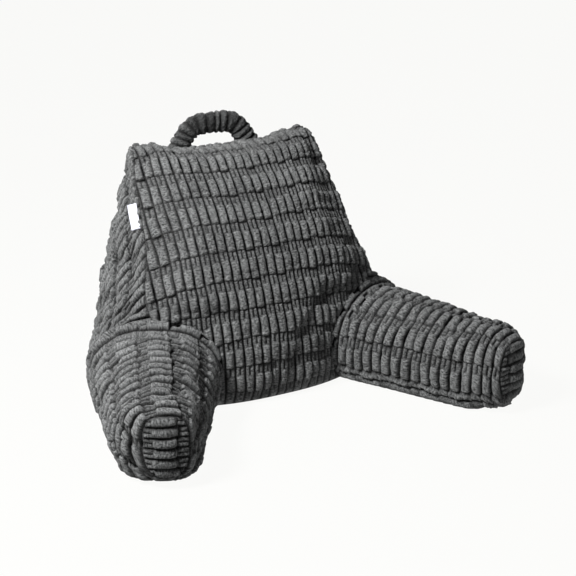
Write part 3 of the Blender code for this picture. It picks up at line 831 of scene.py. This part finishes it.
# %% Hold the seams
def held_share(cover, points):
    """1 where the cloth is held, falling to 0 where it is free."""
    seams = tree_of([point for point, cloth in zip(cover.points, cover.cloth) if cloth[2] == 0.0])
    near = np.array([seams.find(point)[2] for point in points])
    near = np.minimum(near, points[:, 2])
    for side in ARMS.values():
        middle, _ = arm_frame(0.0, side)
        facing = np.array([side * math.sin(JOINT_TURN), -math.cos(JOINT_TURN)])
        off_plane = np.abs((points[:, :2] - middle) @ facing)
        low = points[:, 2] < ARM_SECTIONS[0][2] + HOLD
        near = np.where(low, np.minimum(near, off_plane), near)
    return 1 - soft_step((near - HOLD) / HOLD_FADE)


print("cloth is free from", round(1000 * (HOLD + HOLD_FADE)), "mm off a seam")

# %% [markdown]
# ## Inflating
# The cage is remeshed into even squares, because cloth moves best on those, and the simulation runs for
# a few frames under pressure, without gravity. The cover follows the points of the cage around it.

# %% Inflate a cage between its seams
def put(name, data):
    """Put a mesh, a light or a camera into the scene."""
    thing = bpy.data.objects.new(name, data)
    bpy.context.collection.objects.link(thing)
    return thing


def apply_modifier(thing, modifier):
    bpy.ops.object.select_all(action="DESELECT")
    bpy.context.view_layer.objects.active = thing
    thing.select_set(True)
    bpy.ops.object.modifier_apply(modifier=modifier.name)


def plump(cover, name):
    """Inflate a cage. Returns its resting points and how far each of them moved."""
    cage = put(name, cover.mesh(name))
    remesh = cage.modifiers.new("remesh", "REMESH")
    remesh.mode = "VOXEL"
    remesh.voxel_size = CAGE_VOXEL
    apply_modifier(cage, remesh)
    rest = points_of(cage.data)
    held = held_share(cover, rest)
    set_points(cage.data, rest - normals_of(cage.data) * (CAGE_SHRINK * (1 - held))[:, None])
    group = cage.vertex_groups.new(name="held")
    for number in np.flatnonzero(held > HELD_LEAST):
        group.add([int(number)], float(held[number]), "REPLACE")
    cloth = cage.modifiers.new("cloth", "CLOTH")
    cloth.settings.vertex_group_mass = "held"
    cloth.settings.use_pressure = True
    cloth.settings.uniform_pressure_force = CAGE_PRESSURE
    cloth.settings.shrink_min = CLOTH_SLACK
    cloth.settings.effector_weights.gravity = 0.0
    cloth.collision_settings.use_collision = False
    for number in range(1, CAGE_FRAMES + 1):
        bpy.context.scene.frame_set(number)
    apply_modifier(cage, cloth)
    move = points_of(cage.data) - rest
    bpy.data.objects.remove(cage)
    bpy.context.scene.frame_set(1)
    size = np.linalg.norm(move, axis=1)
    move *= np.minimum(1.0, MOST_MOVE / np.maximum(size, 1e-9))[:, None]
    print(f"{name} moved {1000 * size.mean():.1f} mm on average")
    return rest, move


def follow(points, rest, move):
    """How far each point moves with the cage around it."""
    tree = tree_of(rest)
    result = np.zeros_like(points)
    for number, point in enumerate(points):
        near = tree.find_n(point, NEIGHBOURS)
        weights = np.array([1 / (distance + CAGE_VOXEL / 4) ** 2 for _, _, distance in near])
        result[number] = weights @ move[[index for _, index, _ in near]] / weights.sum()
    return result

# %% [markdown]
# ## Raising the pile
# With the cloth in place, each point is lifted along its normal by the pile that stands there, and the
# seams are drawn in. The ribs also wander a little, as brushed cloth does. The pile's share is kept as
# an attribute, which paints shade on the plush down in the grooves, at the seams and on rib flanks.

# %% Sizes of the nap
WANDER = ((0.0016, 0.050), (0.0006, 0.016))  # how far the ribs wander, over what length
NAP = 0.0017  # tufts on the pile
NAP_SIZE = 0.0048
FLANK_PAINTED_SHADE = {-1: 0.55, 1: 0.0}  # painted shade on the far flank of each rib, for each arm: how dark,
FLANK_FROM = 0.32  # and where across the rib it starts
FLANK_WIDE = 0.45
FLANK_SHADE_FROM = 4.0  # ribs from the joint over which that painted shade sets in
SEAM_PAINTED_SHADE = 0.35  # painted shade: how much darker a seam is than the plush beside it
print("tufts on one cell:", round(RIB * CELL / NAP_SIZE**2))


def wander(points):
    moves = np.zeros_like(points)
    for reach, over in WANDER:
        moves += reach * np.array([noise.noise_vector(Vector(point / over)) for point in points])
    return moves


def tufts(points, size):
    return np.array([noise.noise(Vector(point / size)) for point in points])

# %% [markdown]
# ## Dressing a piece
# The order matters: the cloth is plumped first, then it wanders, and the pile is raised last, along the
# normals that it has by then.

# %% Dress the backrest and the arms
def plush_piece(mesh, depth, across, along):
    """Finish a piece. It keeps how near the top of the pile each point is, for its colour, and the
    point's place on the cloth, in metres, for the grain of the nap."""
    mesh.shade_smooth()
    pile = mesh.attributes.new("pile", "FLOAT", "POINT")
    pile.data.foreach_set("value", depth.astype(np.float32))
    grain = mesh.attributes.new("cloth", "FLOAT_VECTOR", "POINT")
    places = np.stack([across, along, np.zeros_like(across)], axis=1)
    grain.data.foreach_set("vector", places.astype(np.float32).ravel())
    print(mesh.name, sum(len(face.vertices) - 2 for face in mesh.polygons), "triangles")
    return put(mesh.name, mesh)


def dress(name, cloth, cage, flank_shade=0.0):
    """The finished mesh of a filled piece, with painted shade on its ribs' far flanks by some share."""
    mesh = cloth.mesh(name + "_cover")
    points = points_of(mesh)
    across, along, pile = np.array(cloth.cloth).T
    points += follow(points, *plump(cage, name + "_cage"))
    free = pile * soft_step(points[:, 2] / GROUND_FADE)
    points += wander(points) * free[:, None]
    set_points(mesh, points)
    normals = normals_of(mesh)
    height, full = pile_height(across, along)
    puff = ROW_PUFF * np.sin(math.pi * (along % 1.0))
    rise = free * (height + full * (puff + NAP * tufts(points, NAP_SIZE)))
    rise -= SINK * soft_step(points[:, 2] / GROUND_FADE) * (1 + OPEN_SINK * np.maximum(pile - 1, 0))
    points += normals * rise[:, None]
    points[:, 2] = np.maximum(points[:, 2], 0.0)
    set_points(mesh, points)
    # painted shade on each rib's far flank, and at the seams
    flank = soft_step((2 * (across % 1.0) - 1 - FLANK_FROM) / FLANK_WIDE)
    flank = flank * soft_step(across / FLANK_SHADE_FROM)
    full = full * (1 - flank_shade * flank) * (1 - SEAM_PAINTED_SHADE * np.maximum(1 - pile, 0))
    return plush_piece(mesh, full, across * RIB, along * CELL)


backrest = dress("backrest", backrest_cloth, backrest_cage)
arms = {name: dress(name, arm_cloth[name], arm_cage[name], FLANK_PAINTED_SHADE[side]) for name, side in ARMS.items()}

# %% [markdown]
# ## The handle
# The strap is a tube of the same plush, gathered on a tape so that it crumples into short ridges, and
# sewn down at both feet. It is swept along its arch as rounded sections whose size rises and falls with
# the gathers, which are uneven and lean a little.

# %% Sizes of the handle, in metres
# out from its middle, height above its feet
HANDLE_PATH = (
    (0.079, -0.008),
    (0.066, 0.016),
    (0.051, 0.036),
    (0.036, 0.0445),
    (0.018, 0.0465),
    (0.000, 0.0466),
)
HANDLE_Y = 0.260
HANDLE_FOOT_Z = 0.427
HANDLE_DEEP = 0.022
HANDLE_THICK = 0.039
HANDLE_GATHERS = 14
GATHER_RISE = 0.0050
GATHER_STEPS = 9  # sections for each gather
GATHER_POINTS = 56  # points round a section
GATHER_ROUND = 0.6  # how full a ridge is: 1 is an arch
GATHER_UNEVEN = 0.28  # how far a ridge starts early or late, in gathers,
GATHER_SPREAD = 0.25  # rises more or less, as a share of its height,
GATHER_LEAN = 0.16  # and leans, in gathers,
GATHER_TWIST = 7.0  # while the lean turns round the strap
GATHER_PAINTED_SHADE = 2.2  # painted shade: how fast a gather darkens towards its fold
STRAP_ROUND = 0.85  # how square a section of the strap is: 1 is an ellipse
SHADED_MIDDLE_REACH = 0.25  # share of the strap, from its middle, that is painted in shade
SHADED_MIDDLE_FADE = 0.07
MIDDLE_PAINTED_SHADE = 0.45  # and how much darker that painted shade is
FOOT_SPREAD = 1.12  # the sewn feet are this much wider
FOOT_LENGTH = 0.18  # share of the strap
print("between the feet of the handle:", round(2 * HANDLE_PATH[0][0], 3), "m")

# %% [markdown]
# ## Sweeping the strap
# Sections are set at even steps along the arch. Each point of a section looks up which gather it is in
# and how far up that gather's ridge.

# %% Sweep the strap
def handle_line(count):
    """The middle of the strap, foot to foot: (across, height above the feet)."""
    half = np.array(HANDLE_PATH)
    knots = np.concatenate([half * (-1, 1), half[-2::-1]])
    run = lengths(knots)
    fine_line = smooth_read(run, knots, np.linspace(0, run[-1], 4 * FINE))
    return at_lengths(fine_line, np.linspace(0, lengths(fine_line)[-1], count))


def handle_cover():
    cover = Cover()
    count = HANDLE_GATHERS * GATHER_STEPS + 1
    path = handle_line(count)
    heading = np.gradient(path, axis=0)
    heading /= np.linalg.norm(heading, axis=1)[:, None]
    turns = np.linspace(0, math.tau, GATHER_POINTS, endpoint=False)
    uneven = np.random.default_rng(SEED).normal(0, 1, (3, HANDLE_GATHERS + 2))
    starts = np.arange(HANDLE_GATHERS + 2) + GATHER_UNEVEN * np.tanh(uneven[0])
    starts[0], starts[HANDLE_GATHERS] = 0.0, HANDLE_GATHERS
    hoops = []
    for number, ((x, rise), (run_x, run_z)) in enumerate(zip(path, heading)):
        share = number / (count - 1)
        gather = share * HANDLE_GATHERS + GATHER_LEAN * np.sin(turns + GATHER_TWIST * share)
        gather = np.clip(gather, 0, HANDLE_GATHERS - 1e-6)
        which = np.clip(np.searchsorted(starts, gather, side="right") - 1, 0, HANDLE_GATHERS - 1)
        place = (gather - starts[which]) / (starts[which + 1] - starts[which])
        ridge = np.clip(1 - (2 * place - 1) ** 2, 0, 1) ** GATHER_ROUND
        ridge = GATHER_RISE * ridge * (1 + GATHER_SPREAD * np.tanh(uneven[1][which]))
        foot = 1 - float(soft_step(min(share, 1 - share) / FOOT_LENGTH))
        thick = HANDLE_THICK / 2 * (1 + (FOOT_SPREAD - 1) * foot) - GATHER_RISE / 2
        deep = HANDLE_DEEP / 2 - GATHER_RISE / 2
        out = (thick + ridge) * rounded(np.cos(turns), STRAP_ROUND)
        y = HANDLE_Y + (deep + ridge) * rounded(np.sin(turns), STRAP_ROUND)
        points = np.stack([x - run_z * out, y, HANDLE_FOOT_Z + rise + run_x * out], axis=1)
        hoop = cover.row(turns.tolist(), points, number, turns, ridge / GATHER_RISE)
        hoops.append(hoop + [(math.tau, hoop[0][1])])
    cover.lace_all(hoops)
    for hoop in (hoops[0], hoops[-1]):
        cover.face([number for _, number in hoop[:-1]])
    return cover


def dress_handle():
    cover = handle_cover()
    mesh = cover.mesh("handle_strap")
    points = points_of(mesh)
    points += normals_of(mesh) * (NAP * tufts(points, NAP_SIZE))[:, None]
    set_points(mesh, points)
    number, _, ridge = np.array(cover.cloth).T
    share = number / number.max()
    # painted shade over the middle of the strap
    middle_shade = soft_step((SHADED_MIDDLE_REACH - np.abs(share - 0.5)) / SHADED_MIDDLE_FADE)
    depth = ridge**GATHER_PAINTED_SHADE * (1 - MIDDLE_PAINTED_SHADE * middle_shade)
    return plush_piece(mesh, depth, points[:, 0], points[:, 1] + points[:, 2])


handle = dress_handle()
print("strap:", round(lengths(handle_line(FINE))[-1], 3), "m long")

# %% [markdown]
# ## The label
# The label is a short woven ribbon, folded once and caught in the left front seam, with nothing on it.
# Its two layers lie together and round over at the fold. It starts as a flat grid, is wrapped round the
# fold, and gets its thickness from a Solidify modifier.

# %% Fold the ribbon
LABEL_PLACE = 0.43  # share of the seam from the arm joint to its top
LABEL_TALL = 0.050
LABEL_WIDE = 0.018
LABEL_FOLD = 0.0007  # radius of the fold
LABEL_THICK = 0.0004
LABEL_LEAN = math.radians(32)  # it stands out from the side panel by this much,
LABEL_START = 0.004  # and starts this far from the seam line, clear of the pile
LABEL_CURL = 0.0012  # how far its free end waves,
LABEL_WAVE = (5.0, 0.6)  # and the wave's turn along it and start
LABEL_STEPS = (44, 24)  # squares round the fold and along the seam


def fold_label():
    side = -1
    at = AT_JOINT + (AT_TOP - AT_JOINT) * LABEL_PLACE
    near, start, far = seam_points(np.array([at - LABEL_TALL / 2, at, at + LABEL_TALL / 2]), side)
    up = (far - near) / np.linalg.norm(far - near)
    back = at_lengths(rib_line(LABEL_PLACE, side), [LABEL_WIDE])[0] - start
    back -= up * back.dot(up)
    back /= np.linalg.norm(back)
    out = np.cross(up, back)
    out *= math.copysign(1.0, out[0] * side)
    reach = back * math.cos(LABEL_LEAN) + out * math.sin(LABEL_LEAN)
    over = out * math.cos(LABEL_LEAN) - back * math.sin(LABEL_LEAN)
    flat_run = LABEL_WIDE - LABEL_FOLD
    around = math.pi * LABEL_FOLD
    bpy.ops.object.select_all(action="DESELECT")
    bpy.ops.mesh.primitive_grid_add(x_subdivisions=LABEL_STEPS[0], y_subdivisions=LABEL_STEPS[1], size=1.0)
    ribbon = bpy.context.object
    ribbon.name = ribbon.data.name = "label_ribbon"
    for vert in ribbon.data.vertices:
        run = (vert.co.x + 0.5) * (2 * flat_run + around)
        along = vert.co.y * LABEL_TALL
        if run < flat_run:
            place, rise = run, -LABEL_FOLD
        elif run < flat_run + around:
            turn = (run - flat_run) / LABEL_FOLD
            place, rise = flat_run + LABEL_FOLD * math.sin(turn), -LABEL_FOLD * math.cos(turn)
        else:
            place, rise = 2 * flat_run + around - run, LABEL_FOLD
        wave = math.sin(along / LABEL_TALL * LABEL_WAVE[0] + LABEL_WAVE[1])
        curl = LABEL_CURL * (place / LABEL_WIDE) ** 2 * wave
        spot = start + reach * (LABEL_START + place) + up * along + over * (rise + curl + LABEL_FOLD)
        vert.co = spot
    wall = ribbon.modifiers.new("thickness", "SOLIDIFY")
    wall.thickness = LABEL_THICK
    wall.offset = 0.0
    apply_modifier(ribbon, wall)
    bpy.ops.object.mode_set(mode="EDIT")
    bpy.ops.mesh.select_all(action="SELECT")
    bpy.ops.mesh.normals_make_consistent(inside=False)
    bpy.ops.object.mode_set(mode="OBJECT")
    ribbon.data.shade_smooth()
    print("label:", len(ribbon.data.polygons), "faces")
    return ribbon


label = fold_label()

# %% [markdown]
# ## Colours and nodes
# Colours are given as sRGB hex values, as a paint chart gives them, and turned to linear light in one
# place. Materials are built from nodes, and these few functions keep that readable.

# %% Colours and nodes
def linear(code):
    """A colour given as an sRGB hex value, as linear red, green and blue."""
    channels = [int(code[i : i + 2], 16) / 255 for i in (1, 3, 5)]
    return [c / 12.92 if c <= 0.04045 else ((c + 0.055) / 1.055) ** 2.4 for c in channels]


def add_node(tree, kind, settings=None, **inputs):
    """Add a node, set it up, and fill or link its inputs by name."""
    node = tree.nodes.new(kind)
    for key, value in (settings or {}).items():
        setattr(node, key, value)
    for key, value in inputs.items():
        socket = node.inputs[int(key[1:])] if key[1:].isdigit() else node.inputs[key.replace("_", " ")]
        if isinstance(value, bpy.types.NodeSocket):
            tree.links.new(value, socket)
        else:
            socket.default_value = value
    return node


def start_material(name):
    material = bpy.data.materials.new(name)
    material.use_nodes = True
    tree = material.node_tree
    return material, tree, tree.nodes["Principled BSDF"]


def mix_colours(tree, share, low, high):
    """Mix two colours, each a hex value or a socket. Returns the mixed colour."""
    low, high = [(*linear(value), 1) if isinstance(value, str) else value for value in (low, high)]
    return add_node(tree, "ShaderNodeMix", {"data_type": "RGBA"}, _0=share, _6=low, _7=high).outputs[2]


def spread(tree, value, part, low, high):
    """Spread part of a value's range over a new one."""
    ranges = {"From_Min": part[0], "From_Max": part[1], "To_Min": low, "To_Max": high}
    return add_node(tree, "ShaderNodeMapRange", Value=value, **ranges).outputs[0]


print("middle grey in linear light:", round(linear("#808080")[0], 3))

# %% [markdown]
# ## The plush
# Brushed polyester plush: its fibres scatter light, so it has no highlight but a faint sheen where it
# turns away. Down in the grooves bare ground cloth shows, and painted shade makes it far darker there.
# Its colour is broken up by tufts a few millimetres wide that lean either way, and by a slow drift over
# a hand's width. Single fibres are too fine to show and are drawn as a bump at about a millimetre.

# %% Mix the plush
PLUSH_DULL = "#1F2020"
PLUSH_BRIGHT = "#6B6C6C"
# the ground cloth's colour, made near black as painted shade for the grooves
GROUND_CLOTH_AND_GROOVE_SHADE = "#050505"
TUFT = 0.0046  # width of a tuft
TUFT_SQUASH = 1.6  # tufts are this much wider than long
TUFT_RISE = 0.0075  # drawn deeper than the real tufts, so that they show
TUFT_RANGE = (0.38, 0.62)  # the part of the pattern that goes from one lean to the other
DRIFT = 0.060  # width of the slow drift,
DRIFT_SHARE = 0.15  # and how far it lightens or darkens the tufts
DRIFT_RANGE = (0.3, 0.7)
PILE_RANGE = (0.10, 0.95)  # the share of the pile from bare ground to full colour; painted shade below it
FIBRE = 0.0012  # drawn coarser than the real fibres, so that it shows


def brushed_plush(name):
    material, tree, shader = start_material(name)
    place = add_node(tree, "ShaderNodeTexCoord").outputs["Object"]
    cloth = add_node(tree, "ShaderNodeAttribute", {"attribute_name": "cloth"}).outputs["Vector"]
    grain = add_node(tree, "ShaderNodeMapping", Vector=cloth, Scale=(1.0, TUFT_SQUASH, 1.0)).outputs[0]
    tuft = add_node(tree, "ShaderNodeTexNoise", Vector=grain, Scale=1 / TUFT, Detail=3.0, Roughness=0.7)
    drift = add_node(tree, "ShaderNodeTexNoise", Vector=place, Scale=1 / DRIFT, Detail=2.0)
    fibre = add_node(tree, "ShaderNodeTexNoise", Vector=place, Scale=1 / FIBRE, Detail=1.0)
    pile = add_node(tree, "ShaderNodeAttribute", {"attribute_name": "pile"}).outputs["Fac"]
    lean = spread(tree, tuft.outputs["Fac"], TUFT_RANGE, 0.0, 1.0)
    slow = spread(tree, drift.outputs["Fac"], DRIFT_RANGE, -DRIFT_SHARE, DRIFT_SHARE)
    both = add_node(tree, "ShaderNodeMath", {"operation": "ADD", "use_clamp": True}, _0=lean, _1=slow)
    top = mix_colours(tree, both.outputs[0], PLUSH_DULL, PLUSH_BRIGHT)
    # painted shade: the plush darkens towards the ground colour lower in the pile
    depth = spread(tree, pile, PILE_RANGE, 0.0, 1.0)
    tree.links.new(mix_colours(tree, depth, GROUND_CLOTH_AND_GROOVE_SHADE, top), shader.inputs["Base Color"])
    rough = add_node(tree, "ShaderNodeBump", Height=tuft.outputs["Fac"], Strength=1.0, Distance=TUFT_RISE)
    fine_rough = add_node(tree, "ShaderNodeBump", Height=fibre.outputs["Fac"], Strength=0.8, Distance=FIBRE)
    tree.links.new(rough.outputs[0], fine_rough.inputs["Normal"])
    tree.links.new(fine_rough.outputs[0], shader.inputs["Normal"])
    shader.inputs["Roughness"].default_value = 0.95
    shader.inputs["Specular IOR Level"].default_value = 0.15
    shader.inputs["Sheen Weight"].default_value = 0.10
    shader.inputs["Sheen Roughness"].default_value = 0.5
    return material


plush = brushed_plush("brushed_polyester_plush")
print(plush.name, "has", len(plush.node_tree.nodes), "nodes")

# %% [markdown]
# ## The ribbon
# Woven satin ribbon: smooth, with a soft gloss across its fine ribs. Its threads lie 0.4 mm apart. It is
# white, but mixed well below paper white, because it faces the strong key light.

# %% Mix the ribbon
RIBBON = "#8C8D95"
RIBBON_SHADE = "#7E7F88"
THREAD = 0.0008  # drawn at twice the real spacing, so that it shows
WAVE_BANDS = 20  # a wave texture has this many bands in one unit of its scale
RIBBON_DRIFT = 0.0075  # width of the ribbon's faint shading


def satin_ribbon(name):
    material, tree, shader = start_material(name)
    place = add_node(tree, "ShaderNodeTexCoord").outputs["Object"]
    bands = {"Scale": 1 / THREAD / WAVE_BANDS, "Distortion": 1.0, "Detail": 1.0}
    threads = add_node(tree, "ShaderNodeTexWave", {"bands_direction": "Z"}, Vector=place, **bands)
    bump = add_node(tree, "ShaderNodeBump", Height=threads.outputs["Fac"], Strength=0.4, Distance=0.0002)
    tree.links.new(bump.outputs[0], shader.inputs["Normal"])
    tint = add_node(tree, "ShaderNodeTexNoise", Vector=place, Scale=1 / RIBBON_DRIFT, Detail=1.0)
    colour = mix_colours(tree, tint.outputs["Fac"], RIBBON, RIBBON_SHADE)
    tree.links.new(colour, shader.inputs["Base Color"])
    shader.inputs["Roughness"].default_value = 0.55
    return material


ribbon_weave = satin_ribbon("woven_satin_ribbon")
for piece in (backrest, *arms.values(), handle):
    piece.data.materials.append(plush)
label.data.materials.append(ribbon_weave)
print(ribbon_weave.name, "has", len(ribbon_weave.node_tree.nodes), "nodes")

# %% [markdown]
# ## Attach the pieces
# Every cover stands for its solid and rides on the one body, and the solid is hidden.

STANDS_FOR = {
    backrest: ("backrest", "charcoal_plush"),
    arms["arm_left"]: ("arm_left", "charcoal_plush_left"),
    arms["arm_right"]: ("arm_right", "charcoal_plush_right"),
    handle: ("handle", "charcoal_plush_strap"),
    label: ("label", "label_weave"),
}
for piece, (node, slot) in STANDS_FOR.items():
    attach(piece, "root")
    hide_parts(node)
print("declared:", [piece.name for piece in STANDS_FOR])

# %% [markdown]
# ## The floor
# The pillow stands on a sheet of white acrylic that is lit from below, as on a product table, so it
# hardly shows a shadow. A wide plane that glows by itself looks the same, and needs no lamps under it.

# %% Lay the floor
FLOOR_SIZE = 120.0
FLOOR_Z = -0.0005  # just under the pillow, so that the two faces don't flicker
FLOOR_GLOW = 0.945
FLOOR_LIGHT = (1.0, 1.0, 0.985, 1)
FLOOR = "#1C1C1C"


def lit_floor():
    bpy.ops.object.select_all(action="DESELECT")
    bpy.ops.mesh.primitive_plane_add(size=FLOOR_SIZE, location=(0, 0, FLOOR_Z))
    floor = bpy.context.object
    floor.name = "floor"
    material, _, shader = start_material("opal_acrylic_lit_from_below")
    shader.inputs["Base Color"].default_value = (*linear(FLOOR), 1)
    shader.inputs["Roughness"].default_value = 1.0
    shader.inputs["Specular IOR Level"].default_value = 0.0
    shader.inputs["Emission Color"].default_value = FLOOR_LIGHT
    shader.inputs["Emission Strength"].default_value = FLOOR_GLOW
    floor.data.materials.append(material)


lit_floor()
print("floor:", FLOOR_SIZE, "m")

# %% [markdown]
# ## The light
# A strong soft light stands high on the left, which makes the ribs read and lets the right side fall
# away. A weak one in front opens the shadows, and a dim sky fills the rest. Both are area lights,
# because their size sets how soft the edges of the shadows are.

# %% Light it
KEY_AT = (-1.52, -0.34, 1.90)
KEY_AIM = (0.0, 0.02, 0.18)
KEY_SIZE = 0.55
KEY_POWER = 204.0
FILL_AT = (0.4, -2.4, 0.7)
FILL_SIZE = 1.2
FILL_POWER = 11.0
SKY = "#FFFFFF"
SKY_STRENGTH = 0.05

for name, place, size, power in (
    ("key_light", KEY_AT, KEY_SIZE, KEY_POWER),
    ("front_fill", FILL_AT, FILL_SIZE, FILL_POWER),
):
    panel = bpy.data.lights.new(name, "AREA")
    panel.size = size
    panel.energy = power
    light = put(name, panel)
    light.location = place
    light.rotation_euler = (Vector(place) - Vector(KEY_AIM)).to_track_quat("Z", "Y").to_euler()
world = bpy.data.worlds.new("dim_sky")
world.use_nodes = True
sky = world.node_tree.nodes["Background"]
sky.inputs["Color"].default_value = (*linear(SKY), 1)
sky.inputs["Strength"].default_value = SKY_STRENGTH
bpy.context.scene.world = world
bpy.context.scene.view_settings.view_transform = "Standard"

# %% [markdown]
# ## The camera
# It stands to the left and above the arms, with a narrow angle, far enough off that the near arm isn't
# drawn too large. It is placed by its angles and distance from the point it looks at, which are easier
# to change than a position.

# %% Place the camera
VIEW_FROM = math.radians(-28)  # from the front, round to the viewer's left
VIEW_DOWN = math.radians(20.3)
VIEW_DISTANCE = 2.45
VIEW_ANGLE = math.radians(25)
LOOK_AT = Vector((0.03, 0.0, 0.205))

level = math.cos(VIEW_DOWN)
back = Vector((math.sin(VIEW_FROM) * level, -math.cos(VIEW_FROM) * level, math.sin(VIEW_DOWN)))
camera_data = bpy.data.cameras.new("camera")
camera_data.angle = VIEW_ANGLE
camera = put("camera", camera_data)
camera.location = LOOK_AT + back * VIEW_DISTANCE
camera.rotation_euler = (-back).to_track_quat("-Z", "Y").to_euler()
bpy.context.scene.camera = camera
print("camera at", [round(value, 2) for value in camera.location])
